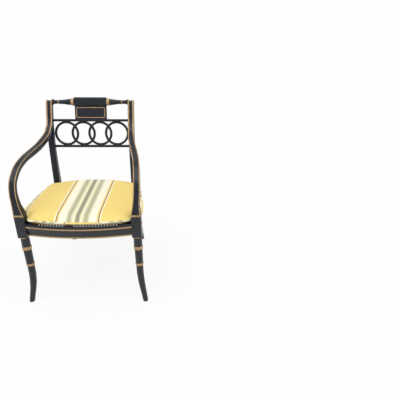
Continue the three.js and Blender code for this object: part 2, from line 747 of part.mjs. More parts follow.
const bite = railThickness / 3;
const frontCornerY = bowAt(blockInner) + railThickness;
const frontReachY = bowAt(blockInner - cornerReach) + railThickness;
const frontCorner = {
  plan: [
    [blockInner - cornerReach, frontReachY - bite], [blockInner, frontCornerY - bite],
    [blockInner + bite, blockBack], [sideAt(blockBack) - railThickness + bite, blockBack],
    [sideAt(blockBack + cornerReach) - railThickness + bite, blockBack + cornerReach],
    [sideAt(blockBack + cornerReach) - railThickness - bite, blockBack + cornerReach],
    [blockInner - cornerReach, frontReachY + bite],
  ],
  screws: [
    screwPlace(new THREE.Vector3(0, -1, 0), blockInner, frontCornerY, frontScrewShares[0], 1),
    screwPlace(new THREE.Vector3(1, 0, 0), blockInner, blockBack, frontScrewShares[1], 1),
  ],
};
const rearCornerY = rearRailY - rearRailThickness / 2;
const rearCorner = {
  plan: [
    [postInner - cornerReach, rearCornerY + bite], [postInner - clearance, rearCornerY + bite],
    [postX, rearCornerY], [sideAt(rearCornerY) - railThickness + bite, rearCornerY],
    [sideAt(rearCornerY - cornerReach) - railThickness + bite, rearCornerY - cornerReach],
    [sideAt(rearCornerY - cornerReach) - railThickness - bite, rearCornerY - cornerReach],
    [postInner - cornerReach, rearCornerY - bite],
  ],
  screws: [
    screwPlace(new THREE.Vector3(0, 1, 0), postInner, rearCornerY, rearScrewShares[0], -1),
    screwPlace(new THREE.Vector3(1, 0, 0), postInner, rearCornerY, rearScrewShares[1], -1),
  ],
};

function cornerScrew({ along, head }, grow = 0) {
  return solid(aimed(screwBody(screwLength, grow), head, along));
}

const armScrewPlace = postAt(armTop - armScrewDrop);

function armScrew(grow = 0) {
  const { centre, back, depth } = armScrewPlace;
  const head = centre.clone().addScaledVector(back, depth / 2 - screwSink);
  return solid(aimed(screwBody(armScrewLength, grow), head, back.clone().negate()));
}

function armDowel(grow = 0) {
  const radius = dowelDiameter / 2 + grow;
  const dowel = new THREE.CylinderGeometry(radius, radius, dowelLength + 2 * grow, dowelSides);
  const centre = new THREE.Vector3(legX, blockBack - blockDepth / 2, blockTop);
  return solid(dowel.rotateX(Math.PI / 2).translate(centre.x, centre.y, centre.z));
}

// Cushion: shells between its underside and its crown, notched round the blocks and arched
// at the back between the posts

function cushionOutline() {
  const postY = postFrontY(cushionRelief);
  const rearY = rearEdgeY(cushionRearInset);
  const rear = cushionRearShares.map(([x, back]) => [
    x * (postInner - cushionRelief), THREE.MathUtils.lerp(postY, rearY, back)]);
  return wholeOutline([...sideOutline({
    front: cushionInset, side: cushionSideInset, relief: cushionRelief, draw: cushionDraw,
  }), ...rear]);
}

function cushionBody() {
  const outline = cushionOutline();
  const centre = new THREE.Vector2(0, (outline[0].y + rearRailY) / 2);
  const reach = new THREE.Vector2(sideAt(centre.y) - cushionSideInset, centre.y - outline[0].y);
  const base = seatHeight + bindingThickness + clearance;
  const welt = seatHeight + cushionEdge;
  const levels = (level) => (level < 1 ? THREE.MathUtils.lerp(base, welt, level)
    : welt + (level - 1) * cushionCrown);
  const ring = (share, height) => outline.map((point) => {
    const arm = point.clone().sub(centre);
    const angle = Math.atan2(arm.y, arm.x);
    const oval = new THREE.Vector2(Math.cos(angle) * reach.x, Math.sin(angle) * reach.y);
    const soft = oval.lerp(arm, share ** 2).multiplyScalar(share);
    return new THREE.Vector3(centre.x + soft.x, centre.y + soft.y, height);
  });
  const shells = cushionShellShares.map(([share, level]) => ring(share, levels(level)));
  const under = cushionShellShares.findIndex(([, level]) => level > 1);
  const weltShells = weltShellShares.map(([share, radii]) => ring(share, welt + (radii * weltDiameter) / 2));
  return solid(loft([...shells.slice(0, under), ...weltShells, ...shells.slice(under)]));
}

// Everything joined and cut

const rightPieces = {};
const middlePieces = {};

const sideCore = sideRailCore(clearance);
const rearCore = rearRailCore(clearance);
const slatHeights = { lower_slat: 0, upper_slat: slatPitch };
const slatCores = Object.values(slatHeights).map((height) => (
  solid(geometryOf(slatCore(height, clearance)).applyMatrix4(backRest.matrix))));
const crestHole = solid(crestTenon(clearance).applyMatrix4(crest.matrix));
const housing = armBody(clearance).subtract(postBody(0, armHousing));
rightPieces.back_post = [postBody().add(postRoll()).subtract(underFloor)
  .subtract(housing).subtract(sideCore).subtract(rearCore).subtract(slatCores[0]).subtract(slatCores[1])
  .subtract(crestHole).subtract(armScrew(clearance)), materials.frame];
rightPieces.arm = [armBody().subtract(postBody(0, armHousing - clearance))
  .subtract(armScrew(clearance)).subtract(armDowel(clearance)), materials.frame];
rightPieces.front_leg = [legBody().subtract(solid(frontRailTenon(clearance))).subtract(sideCore)
  .subtract(armDowel(clearance)), materials.frame];

const rebate = caneBody(clearance);
const corners = [frontCorner, rearCorner];
const cornerScrews = (grow) => corners.flatMap((corner) => (
  corner.screws.map((screw) => cornerScrew(screw, grow))));
const grownScrews = cornerScrews(clearance);
const cutAll = (body, cutters) => cutters.reduce((rest, cutter) => rest.subtract(cutter), body);
rightPieces.side_rail = [cutAll(
  sideRailBody().subtract(blockBody(clearance)).subtract(postBody(clearance)).add(sideRailCore()),
  [rebate, ...grownScrews]), materials.frame];

const neighbours = [frontRailBody(clearance), sideRailBody(clearance), rearRailBody(clearance),
  blockBody(clearance), postBody(clearance)];
const cornerBlock = ({ plan }) => cutAll(cornerPlate(plan), [...neighbours, ...grownScrews]);
rightPieces.front_corner_block = [cornerBlock(frontCorner), materials.beech];
rightPieces.rear_corner_block = [cornerBlock(rearCorner), materials.beech];
[
  'front_corner_screw_1', 'front_corner_screw_2', 'rear_corner_screw_1', 'rear_corner_screw_2',
].forEach((name, i) => {
  rightPieces[name] = [cornerScrews(0)[i], materials.steel];
});
rightPieces.arm_screw = [armScrew(), materials.steel];
rightPieces.arm_dowel = [armDowel(), materials.beech];

const bothSides = (body) => [body, solid(mirrored(geometryOf(body)))];
const screwsBothSides = grownScrews.flatMap(bothSides);
const frontTenons = bothSides(solid(frontRailTenon()));
middlePieces.front_rail = [cutAll(frontRailBody().add(frontTenons[0]).add(frontTenons[1]),
  [rebate, ...screwsBothSides]), materials.frame];
middlePieces.rear_rail = [cutAll(rearRailBody().add(rearRailCore()),
  [rebate, ...screwsBothSides]), materials.frame];
middlePieces.cane_panel = [caneBody(), materials.cane];
middlePieces.cane_binding = [bindingBody(), materials.frame];

const pins = [];
for (let index = 0; index < ringCount; index += 1) {
  for (const up of [false, true]) pins.push({ index, up });
}
const grownPins = pins.map(({ index, up }) => pinBody(index, up, clearance));
const grownRings = Array.from({ length: ringCount }, (_, index) => ringBody(index, clearance));
const backPieces = {};
for (const [name, height] of Object.entries(slatHeights)) {
  backPieces[name] = [cutAll(slatBody(height).add(slatCore(height)),
    [...grownPins, ...grownRings]), materials.frame];
}
for (let index = 0; index < ringCount; index += 1) {
  let ring = ringBody(index);
  if (index > 0) ring = ring.subtract(grownRings[index - 1].intersect(ringHalf(-1)));
  if (index < ringCount - 1) ring = ring.subtract(grownRings[index + 1].intersect(ringHalf(1)));
  backPieces[`ring_${index + 1}`] = [cutAll(ring, grownPins), materials.frame];
}
pins.forEach(({ index, up }) => {
  backPieces[`ring_${index + 1}_${up ? 'upper' : 'lower'}_pin`] = [pinBody(index, up), materials.beech];
});

const slatInCrest = new THREE.Matrix4().copy(crest.matrix).invert().multiply(backRest.matrix);
const slatCutter = solid(geometryOf(slatBody(slatPitch, clearance)).applyMatrix4(slatInCrest));
const crestPieces = {
  crest_rail: [crestBody().add(solid(crestTenon())).add(solid(mirrored(crestTenon())))
    .subtract(panelTongue(clearance)), materials.frame],
  crest_panel: [panelBody().add(panelTongue()).subtract(slatCutter), materials.frame],
};

// The scene

function addPieces(group, pieces, prefix = '') {
  for (const [name, [body, material]] of Object.entries(pieces)) {
    const mesh = new THREE.Mesh(geometryOf(body), material);
    mesh.name = prefix + name;
    group.add(mesh);
  }
}

const chair = new THREE.Group();
const rightSide = new THREE.Group();
const leftSide = new THREE.Group();
leftSide.scale.x = -1;
chair.add(rightSide, leftSide, backRest, crest);
addPieces(rightSide, rightPieces, 'right_');
addPieces(leftSide, rightPieces, 'left_');
addPieces(chair, middlePieces);
addPieces(backRest, backPieces);
addPieces(crest, crestPieces);
addPieces(chair, { cushion: [cushionBody(), materials.cloth] });

const bounds = new THREE.Box3().setFromObject(chair, true);
const footprint = bounds.getCenter(new THREE.Vector3());
chair.position.set(-footprint.x, -footprint.y, -bounds.min.z);
const armchair = new THREE.Group();
armchair.add(chair);

export default armchair;
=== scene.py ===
import random
import bpy
import bmesh
from math import atan2, copysign, cos, degrees, hypot, pi, radians, sin, sqrt
from mathutils import Matrix, Vector, kdtree
from mathutils import noise as field


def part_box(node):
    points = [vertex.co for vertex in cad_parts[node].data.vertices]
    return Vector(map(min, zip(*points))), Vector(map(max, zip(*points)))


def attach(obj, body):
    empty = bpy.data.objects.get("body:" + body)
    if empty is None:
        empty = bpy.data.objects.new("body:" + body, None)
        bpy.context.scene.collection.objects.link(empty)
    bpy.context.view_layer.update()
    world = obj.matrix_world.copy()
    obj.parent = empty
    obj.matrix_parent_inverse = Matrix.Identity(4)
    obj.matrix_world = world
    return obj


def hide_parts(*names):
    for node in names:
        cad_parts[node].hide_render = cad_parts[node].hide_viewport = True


# The chair is built in millimetres with its front plane at y = 0, behind the swell of the
# front rail, and every mesh is then moved into the frame's place and scaled to metres.
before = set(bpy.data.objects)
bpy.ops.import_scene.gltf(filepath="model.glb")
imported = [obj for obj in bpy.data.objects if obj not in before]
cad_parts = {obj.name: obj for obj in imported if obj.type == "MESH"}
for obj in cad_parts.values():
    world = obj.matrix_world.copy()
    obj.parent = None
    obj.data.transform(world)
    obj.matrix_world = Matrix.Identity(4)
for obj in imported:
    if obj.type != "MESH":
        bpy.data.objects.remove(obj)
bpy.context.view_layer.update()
seat = {"top": 430, "depth": 388, "spread": 410, "legSpread": 522, "bow": 25}
block = {"width": 44, "depth": 42, "top": 467, "foot": 360, "front": 4, "lean": 10, "edge": 1.6}
legMiddle = seat["legSpread"] / 2
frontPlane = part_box("front_rail")[0].y + seat["bow"] / 1000
scene = bpy.context.scene
rng = random.Random(7)
across, inDepth, upward = Vector((1, 0, 0)), Vector((0, 1, 0)), Vector((0, 0, 1))
clearance = 0.3


# Paths and tables

def smoothPath(points, steps=16):
    points = [Vector(point) for point in points]
    points = [2 * points[0] - points[1], *points, 2 * points[-1] - points[-2]]
    path = []
    for p0, p1, p2, p3 in zip(points, points[1:], points[2:], points[3:]):
        d0, d1, d2 = (max((b - a).length, 1e-8) ** 0.5 for a, b in ((p0, p1), (p1, p2), (p2, p3)))
        m1 = ((p1 - p0) / d0 - (p2 - p0) / (d0 + d1) + (p2 - p1) / d1) * d1
        m2 = ((p2 - p1) / d1 - (p3 - p1) / (d1 + d2) + (p3 - p2) / d2) * d1
        for step in range(steps):
            t = step / steps
            path.append(p1 * (2 * t ** 3 - 3 * t ** 2 + 1) + m1 * (t ** 3 - 2 * t ** 2 + t)
                        + p2 * (3 * t ** 2 - 2 * t ** 3) + m2 * (t ** 3 - t ** 2))
    path.append(points[-2].copy())
    return path


def evenly(path, count):
    lengths = [0.0]
    for a, b in zip(path, path[1:]):
        lengths.append(lengths[-1] + (b - a).length)
    places, seg = [], 0
    for step in range(count + 1):
        want = lengths[-1] * step / count
        while seg < len(path) - 2 and lengths[seg + 1] < want:
            seg += 1
        t = (want - lengths[seg]) / max(lengths[seg + 1] - lengths[seg], 1e-9)
        before, after = path[max(seg - 1, 0)], path[min(seg + 2, len(path) - 1)]
        places.append((path[seg].lerp(path[seg + 1], t), (after - before).normalized()))
    return places


def readTable(rows, place):
    if place <= rows[0][0]:
        return rows[0][1]
    for low, high in zip(rows, rows[1:]):
        if place <= high[0]:
            return mix(low[1], high[1], (place - low[0]) / max(high[0] - low[0], 1e-9))
    return rows[-1][1]


def smoothTable(rows):
    return [tuple(point) for point in smoothPath([(*row, 0)[:3] for row in rows], 8)]


def ramp(value, start, end):
    t = min(max((value - start) / (end - start), 0), 1)
    return t * t * (3 - 2 * t)


def mix(a, b, t):
    return a + (b - a) * t


def linked(name, data):
    item = bpy.data.objects.new(name, data)
    scene.collection.objects.link(item)
    return item


def baked(name, mesh):
    data = bpy.data.meshes.new(name)
    mesh.to_mesh(data)
    mesh.free()
    return data


# The object's mesh with its modifiers applied, while the object itself goes
def applied(source):
    data = bpy.data.meshes.new_from_object(source.evaluated_get(bpy.context.evaluated_depsgraph_get()))
    bpy.data.objects.remove(source)
    return data


# Materials

def nodesOf(name):
    material = bpy.data.materials.new(name)
    material.use_nodes = True
    tree = material.node_tree
    shader = tree.nodes["Principled BSDF"]
    return material, tree, shader


def linear(r, g, b):
    return tuple(((c / 255 + 0.055) / 1.055) ** 2.4 if c > 10 else c / 255 / 12.92 for c in (r, g, b)) + (1,)


def addNode(tree, kind, sources=None, **values):
    node = tree.nodes.new(kind)
    for key, value in values.items():
        if key in node.inputs:
            node.inputs[key].default_value = value
        else:
            setattr(node, key, value)
    feed(tree, node, sources or {})
    return node


def feed(tree, node, sources):
    for socket, source in sources.items():
        tree.links.new(source, node.inputs[socket])


def objectPoint(tree, scale=(1, 1, 1), turn=0.0, place=(0, 0, 0)):
    point = addNode(tree, "ShaderNodeTexCoord").outputs["Object"]
    return addNode(tree, "ShaderNodeMapping", {"Vector": point}, Scale=scale, Rotation=(0, 0, turn),
                   Location=place).outputs["Vector"]


def noise(tree, point, scale, detail=4.0, roughness=0.6):
    return addNode(tree, "ShaderNodeTexNoise", {"Vector": point}, Scale=scale, Detail=detail,
                   Roughness=roughness).outputs["Fac"]


def colourRamp(tree, factor, stops):
    node = addNode(tree, "ShaderNodeValToRGB", {"Fac": factor})
    elements = node.color_ramp.elements
    while len(elements) < len(stops):
        elements.new(0.5)
    for element, (place, colour) in zip(elements, stops):
        element.position = place
        element.color = colour
    return node.outputs["Color"]


def spread(tree, factor, low, high):
    return addNode(tree, "ShaderNodeMapRange", {"Value": factor},
                   **{"To Min": low, "To Max": high}).outputs["Result"]


def bump(tree, height, strength, distance):
    return addNode(tree, "ShaderNodeBump", {"Height": height}, Strength=strength,
                   Distance=distance).outputs["Normal"]


# Each look has a noise for its colour, one for its roughness and one for its relief
def surface(name, stops, grains, roughness, relief, **values):
    material, tree, shader = nodesOf(name)
    colour, rough, height = [noise(tree, objectPoint(tree, stretch), *grain) for stretch, *grain in grains]
    feed(tree, shader, {"Base Color": colourRamp(tree, colour, stops), "Normal": bump(tree, height, *relief),
                        "Roughness": spread(tree, rough, *roughness)})
    for key, value in values.items():
        shader.inputs[key].default_value = value
    return material


even, upright = (1, 1, 1), (1, 1, 0.2)


def lacquer(name, dark, light, shine):
    return surface(name, [(0.35, dark), (0.7, light)], [(even, 38), (even, 90, 5), (upright, 420, 3)],
                   (0.2, 0.42), (0.12, 0.0006), **{"Specular IOR Level": shine})


def timber(name, dark, light, roughness):
    return surface(name, [(0.3, dark), (0.68, light)], [((6, 6, 90), 9, 6, 0.65)] * 3,
                   (roughness - 0.08, roughness + 0.08), (0.2, 0.0006))


black = lacquer("black_lacquer", linear(13, 16, 21), linear(24, 27, 34), 0.5)
# painted shade: a darker, bluer and less reflective copy of the same black lacquer, for the posts, arms,
# slats, rings, crest, panel, rail tops and cane binding, which take more light from above than the legs and
# rail fronts
shadedBlack = lacquer("black_lacquer_above", linear(13, 19, 28), linear(24, 31, 42), 0.31)
gold = surface("gilt_line", [(0.3, linear(112, 86, 54)), (0.5, linear(182, 149, 103)),
                             (0.72, linear(204, 173, 126))],
               [(even, 140, 6, 0.7), (even, 220, 4), (even, 600, 3)], (0.3, 0.6), (0.15, 0.0005),
               Metallic=0.35)
beech = timber("beech_wood", linear(150, 112, 72), linear(198, 160, 112), 0.6)
steel = surface("screw_steel", [(0.35, linear(105, 103, 100)), (0.65, linear(165, 163, 160))],
                [(even, 700, 4, 0.7)] * 3, (0.25, 0.5), (0.15, 0.0003), Metallic=0.9)
cane = timber("cane_strand", linear(178, 142, 88), linear(222, 194, 138), 0.45)
paleCane = timber("pale_cane", linear(232, 233, 228), linear(250, 251, 248), 0.4)
print("materials made")


# Meshes

def skin(mesh, rings, finish=lambda ring, point: 0, capped=True, closed=False):
    rows = [[mesh.verts.new(point) for point in ring] for ring in rings]
    count = len(rows[0])
    for index, (low, high) in enumerate(zip(rows, rows[1:] + rows[:closed])):
        for i in range(count):
            face = mesh.faces.new((low[i], low[(i + 1) % count], high[(i + 1) % count], high[i]))
            face.material_index = finish(index, i)
    if not closed:
        mesh.faces.new(rows[0][::-1])
    if capped and not closed:
        mesh.faces.new(rows[-1])
    return rows


def cutAtFloor(mesh, edge=0.9):
    cut = bmesh.ops.bisect_plane(mesh, geom=mesh.verts[:] + mesh.edges[:] + mesh.faces[:], dist=1e-4,
                                 plane_co=(0, 0, 0), plane_no=upward, clear_inner=True)
    rim = [item for item in cut["geom_cut"] if isinstance(item, bmesh.types.BMEdge)]
    bmesh.ops.holes_fill(mesh, edges=rim)
    bmesh.ops.bevel(mesh, geom=rim, offset=edge, segments=2, affect="EDGES", profile=0.5)


def addPiece(node, mesh, materials, sides=("",)):
    bmesh.ops.remove_doubles(mesh, verts=mesh.verts, dist=1e-4)
    bmesh.ops.recalc_face_normals(mesh, faces=mesh.faces)
    mesh.transform(Matrix.Translation((0, frontPlane, 0)) @ Matrix.Scale(0.001, 4))
    for side in sides:
        if side == "left_":
            mesh.transform(Matrix.Scale(-1, 4, across))
            bmesh.ops.reverse_faces(mesh, faces=mesh.faces)
        data = baked(f"{side}{node}_body", mesh.copy())
        data.shade_smooth()
        data.set_sharp_from_angle(angle=radians(38))
        for material in materials:
            data.materials.append(material)
        piece = linked(f"{side}{node}_body", data)
        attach(piece, "chair_frame")
        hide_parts(side + node)
    mesh.free()


both = ("right_", "left_")

# Posts and arms share one section: a gilt bead along each front edge and a field between them

member = {"bead": 7.5, "rise": 2.0, "corner": 7.0, "plainCorner": 2.6, "beadSteps": 8, "fieldSteps": 4,
          "gilt": (1, 6)}
stripCount = 2 * (member["beadSteps"] + 1) + member["fieldSteps"] - 1


def cornerPoint(half, corner, share):
    turn = pi * (1 - share / 2)
    return -half + corner + corner * cos(turn), corner * (1 - sin(turn))


def wholeStrip(left):
    x, y = left[-1]
    field = [(mix(x, -x, step / member["fieldSteps"]), y) for step in range(1, member["fieldSteps"])]
    return left + field + [(-a, b) for a, b in reversed(left)]


def frontStrip(width, plain=0.0, crossBead=1.0, bead=member["bead"]):
    half, rise = width / 2, member["rise"] * bead / member["bead"]
    left = []
    for share in (step / member["beadSteps"] for step in range(member["beadSteps"] + 1)):
        turn = pi * (1 - share)
        x, y = -half + bead / 2 + bead / 2 * cos(turn), rise * (1 - sin(turn))
        edge = cornerPoint(half, member["plainCorner"], share)
        left.append((mix(x, edge[0], plain), mix(min(y, rise * crossBead), edge[1], plain)))
    return wholeStrip(left)


def backStrip(width, depth):
    corner = min(member["corner"], depth / 3)
    return wholeStrip([cornerPoint(width / 2, corner, step / member["beadSteps"])
                       for step in range(member["beadSteps"] + 1)])


def memberRing(front, side, back, width, depth, strip):
    ring = [front + side * a + back * b for a, b in strip]
    ring.append(front + side * (width / 2) + back * (depth / 2))
    ring += [front + side * a + back * (depth - b) for a, b in reversed(backStrip(width, depth))]
    ring.append(front - side * (width / 2) + back * (depth / 2))
    return ring


def onBead(point):
    return member["gilt"][0] <= min(point, stripCount - 2 - point) <= member["gilt"][1]


# Back posts

post = {
    "height": 840, "sweep": 107, "width": 30, "footWidth": 26, "taperTop": 364, "depth": 39, "stations": 120,
    "rollSteps": 24, "rollBlend": (125, 175), "rollGilt": 130, "armTop": 768, "giltFrom": (-14, -5),
    "sunk": 1.6, "sunkFrom": (690, 720),
    "path": [(1.061, -0.024), (0.972, 0), (0.606, 0.1075), (0.28, 0.226), (0.075, 0.339), (0, 0.425),
             (0.034, 0.481), (0.084, 0.5225), (0.187, 0.643), (0.308, 0.754), (0.458, 0.833), (0.645, 0.905),
             (0.832, 0.96), (1, 1)],
    "depths": smoothTable([(-0.03, 0.66), (0, 0.68), (0.3, 0.9), (0.45, 1), (0.54, 0.97), (0.75, 0.71),
                           (1, 0.77)]),
}
post["line"] = smoothPath([
    (seat["spread"] / 2, seat["depth"] + sweep * post["sweep"], height * post["height"])
    for sweep, height in post["path"]])


def lineAtHeight(line, height):
    for before, first, last, after in zip(line, line[1:], line[2:], line[3:]):
        if (first.z - height) * (last.z - height) <= 0:
            break
    return first.lerp(last, (height - first.z) / (last.z - first.z)), (after - before).normalized()


def postAt(height):
    centre, up = lineAtHeight(post["line"], height)
    back = Vector((0, up.z, -up.y))
    depth = post["depth"] * readTable(post["depths"], height / post["height"])
    return {"centre": centre, "up": up, "back": back, "depth": depth, "front": centre - back * (depth / 2)}


def postStations():
    stations = []
    for centre, up in evenly(post["line"], post["stations"]):
        back = Vector((0, up.z, -up.y))
        depth = post["depth"] * readTable(post["depths"], centre.z / post["height"])
        width = mix(post["footWidth"], post["width"], min(max(centre.z, 0) / post["taperTop"], 1))
        plain = 1 - ramp(centre.z - post["armTop"], *post["giltFrom"])
        sunk = back * (post["sunk"] * plain * ramp(centre.z, *post["sunkFrom"]))
        front = centre - back * (depth / 2)
        stations.append((memberRing(front + sunk, across, back, width, depth - sunk.length,
                                    frontStrip(width, plain)), front, up, back, depth, plain))
    return stations


mesh = bmesh.new()
stations = postStations()
gilt = [station[5] < 0.5 for station in stations]
rows = skin(mesh, [station[0] for station in stations], lambda ring, point: int(gilt[ring] and onBead(point)),
            capped=False)
_, front, up, back, depth, _ = stations[-1]
radius = depth / 2
middle = front + back * radius
fronts, backs = frontStrip(post["width"]), backStrip(post["width"], depth)
last = rows[-1]
strip = last[:stripCount]
rightMid, leftMid = last[stripCount], last[-1]
for step in range(1, post["rollSteps"] + 1):
    turn = pi * step / post["rollSteps"]
    if step < post["rollSteps"]:
        outward = up * sin(turn) - back * cos(turn)
        blend = ramp(degrees(turn), *post["rollBlend"])
        new = [mesh.verts.new(middle + across * mix(a, c, blend) + outward * (radius - mix(b, d, blend)))
               for (a, b), (c, d) in zip(fronts, backs)]
    else:
        new = last[stripCount + 1:-1][::-1]
    for i in range(stripCount - 1):
        face = mesh.faces.new((strip[i], strip[i + 1], new[i + 1], new[i]))
        face.material_index = int(onBead(i) and degrees(turn) < post["rollGilt"])
    mesh.faces.new((rightMid, new[-1], strip[-1]))
    mesh.faces.new((leftMid, strip[0], new[0]))
    strip = new
cutAtFloor(mesh)
addPiece("back_post", mesh, [shadedBlack, gold], both)
print("posts made")

# Arms

arm = {
    "depth": 28, "stations": 130, "baseTop": 477, "foot": block["top"] + clearance, "footSteps": 12,
    "band": 9.0, "lip": 0.6, "bead": 4.5, "beadShares": (0.02, 0.26), "narrower": 0.4,
    "narrowShares": (0.1, 0.16), "tuck": (6, 1.5),
    "path": [(0, 0, 0), (0, 0.04, 0.082), (0.036, 0.079, 0.133), (0.054, 0.121, 0.167), (0.107, 0.17, 0.195),
             (0.179, 0.221, 0.215), (0.375, 0.333, 0.253), (0.625, 0.461, 0.276), (0.893, 0.609, 0.3),
             (1.089, 0.77, 0.365), (1.179, 0.896, 0.498), (1.179, 0.936, 0.59), (1.161, 0.963, 0.693),
             (1.107, 0.98, 0.799), (1.054, 0.993, 0.904), (1, 1, 1)],
    "flare": [(0, 0, -0.28), (0.12, 0, 0), (0.36, 0, 0), (0.5, 0, -0.2), (0.78, 0, -0.2), (0.86, 0.05, 0.08),
              (0.92, 0.2, 0.35), (0.96, 0.5, 0.7), (1, 1, 1)],
}
armStart = postAt(post["armTop"])
start, end = armStart["front"], Vector((legMiddle, block["front"], arm["baseTop"]))
armLine = smoothPath([[mix(start[axis], end[axis], share) for axis, share in enumerate(shares)]
                      for shares in arm["path"]])
rings = []
widths = smoothTable([(place, wide) for place, wide, _ in arm["flare"]])
depths = smoothTable([(place, deep) for place, _, deep in arm["flare"]])
for station, (front, tangent) in enumerate(evenly(armLine, arm["stations"])):
    share = station / arm["stations"]
    side = (across - tangent * tangent.x).normalized()
    back = tangent.cross(side).normalized()
    back *= copysign(1, back.y - back.z)
    wide, deep = readTable(widths, share), readTable(depths, share)
    back = back.lerp(inDepth, min(max(deep, 0), 1) ** 2).normalized()
    side = side.lerp(across, wide).normalized()
    narrower = arm["narrower"] * (1 - ramp(share, *arm["narrowShares"]))
    width = mix(post["width"] - narrower, block["width"], wide)
    depth = mix(arm["depth"], block["depth"], deep)
    if station == 0:
        under = front + armStart["up"] * arm["tuck"][0] + armStart["back"] * arm["tuck"][1]
        rings.append(memberRing(under, side, back, width, depth, frontStrip(width)))
    bead = mix(member["bead"], arm["bead"], ramp(share, *arm["beadShares"]))
    rings.append(memberRing(front, side, back, width, depth, frontStrip(width, bead=bead)))
for step in range(1, arm["footSteps"] + 1):
    height = mix(arm["baseTop"], arm["foot"], step / arm["footSteps"])
    lip = arm["foot"] + arm["lip"]
    t = min(max((lip + arm["band"] - height) / arm["band"], 0), 1)
    crossing = 1 - sin(pi * t) if height > lip else 1
    rings.append(memberRing(Vector((end.x, end.y, height)), across, inDepth, block["width"], block["depth"],
                            frontStrip(block["width"], 0, crossing, arm["bead"])))
mesh = bmesh.new()
bandStart = arm["stations"] + 1
skin(mesh, rings, lambda ring, point: int(onBead(point) or (ring >= bandStart and point < stripCount - 1)))
addPiece("arm", mesh, [shadedBlack, gold], both)
print("arms made")

# Front legs and their blocks

leg = {
    "diameter": 40, "flare": 20, "kick": 49, "sides": 48, "reach": (-14, 362), "stations": 90,
    "path": [(1.04, 0, -0.02), (0.94, 0, 0.03), (0.83, 0, 0.094), (0.69, 0, 0.173), (0.556, 0, 0.245),
             (0.417, 0.025, 0.327), (0.347, 0.1, 0.384), (0.278, 0.21, 0.465), (0.208, 0.38, 0.573),
             (0.139, 0.59, 0.7), (0.07, 0.82, 0.85), (0, 1.03, 1), (-0.06, 1.22, 1.13)],
    "profile": smoothTable([(-0.05, 0.61), (0.06, 0.65), (0.14, 0.7), (0.28, 0.79), (0.42, 0.83),
                            (0.55, 0.85), (0.6, 0.9), (0.69, 0.92), (0.8, 0.95), (0.86, 1.0), (0.92, 0.99),
                            (1.03, 0.94)]),
    "beads": [(357, 2.8, 1.02), (298.5, 8.4, 1.09), (205.7, 6.2, 0.975)],
}
legHead = block["front"] + block["depth"] / 2 - block["lean"]
legLine = smoothPath([(legMiddle + flare * leg["flare"], legHead - kick * leg["kick"],
                       height * block["foot"]) for height, flare, kick in leg["path"]])


def beadRadius(beads, place, base):
    radius, gilt = base, False
    for middle, half, crown in beads:
        u = (place - middle) / half
        if abs(u) <= 1.0001:
            radius = mix(base, max(crown, base), sqrt(max(1 - u ** 4, 0)))
            gilt = True
    return radius, gilt


def beadStations(low, high, count, beads, fine=10, gap=0.3, free=0.4):
    places = {round(low + (high - low) * i / count, 4) for i in range(count + 1)}
    for middle, half, _ in beads:
        places = {place for place in places if abs(place - middle) > half + free}
        places |= {round(middle - half * cos(pi * i / fine), 4) for i in range(fine + 1)}
        places |= {round(middle - half - gap, 4), round(middle + half + gap, 4)}
    return sorted(place for place in places if low <= place <= high)


def turnedRing(centre, side, back, radius, sides):
    return [centre + side * (radius * cos(2 * pi * i / sides))
            + back * (radius * sin(2 * pi * i / sides)) for i in range(sides)]


def roundedCorners(halfA, halfB, corner, steps):
    points = []
    for quarter, (sa, sb) in enumerate(((1, -1), (1, 1), (-1, 1), (-1, -1))):
        for step in range(steps + 1):
            turn = pi / 2 * (quarter - 1 + step / steps)
            points.append((sa * (halfA - corner) + corner * cos(turn),
                           sb * (halfB - corner) + corner * sin(turn)))
    return points


mesh = bmesh.new()
rings, gilt = [], []
for height in beadStations(*leg["reach"], leg["stations"], leg["beads"]):
    centre, down = lineAtHeight(legLine, height)
    side = (across - down * down.x).normalized()
    radius, isBead = beadRadius(leg["beads"], height, readTable(leg["profile"], height / block["foot"]))
    rings.append(turnedRing(centre, side, side.cross(down).normalized(), radius * leg["diameter"] / 2,
                            leg["sides"]))
    gilt.append(isBead)
skin(mesh, rings, lambda ring, point: int(gilt[ring] and gilt[ring + 1]))
cutAtFloor(mesh)
edge = block["edge"]
rings = []
for share, inset in ((0, edge), (0.004, edge * 0.3), (0.015, 0), (0.985, 0), (0.996, edge * 0.3), (1, edge)):
    height = mix(block["foot"], block["top"], share)
    middle = block["front"] - block["lean"] * (1 - share) + block["depth"] / 2
    rings.append([Vector((legMiddle + a, middle + b, height)) for a, b in roundedCorners(
        block["width"] / 2 - inset, block["depth"] / 2 - inset, edge, 3)])
skin(mesh, rings)
addPiece("front_leg", mesh, [black, gold], both)
print("front legs made")

# Seat rails

rail = {"height": 66, "thickness": 26, "line": 7, "rise": 1.2, "nose": 14, "setback": 7, "inner": 239,
        "rebate": 13, "rebateDepth": 2.4, "stations": 72, "letIn": 3, "sideLetIn": (6, 9), "sideStations": 24,
        "roundSteps": 6, "fall": 5, "lineSteps": 9}
rearRail = {"length": 384, "depth": 24, "corner": 2, "ledgeDepth": 13, "ledgeHeight": 12}


def bowAt(x):
    return -seat["bow"] * (1 - (x / rail["inner"]) ** 2)


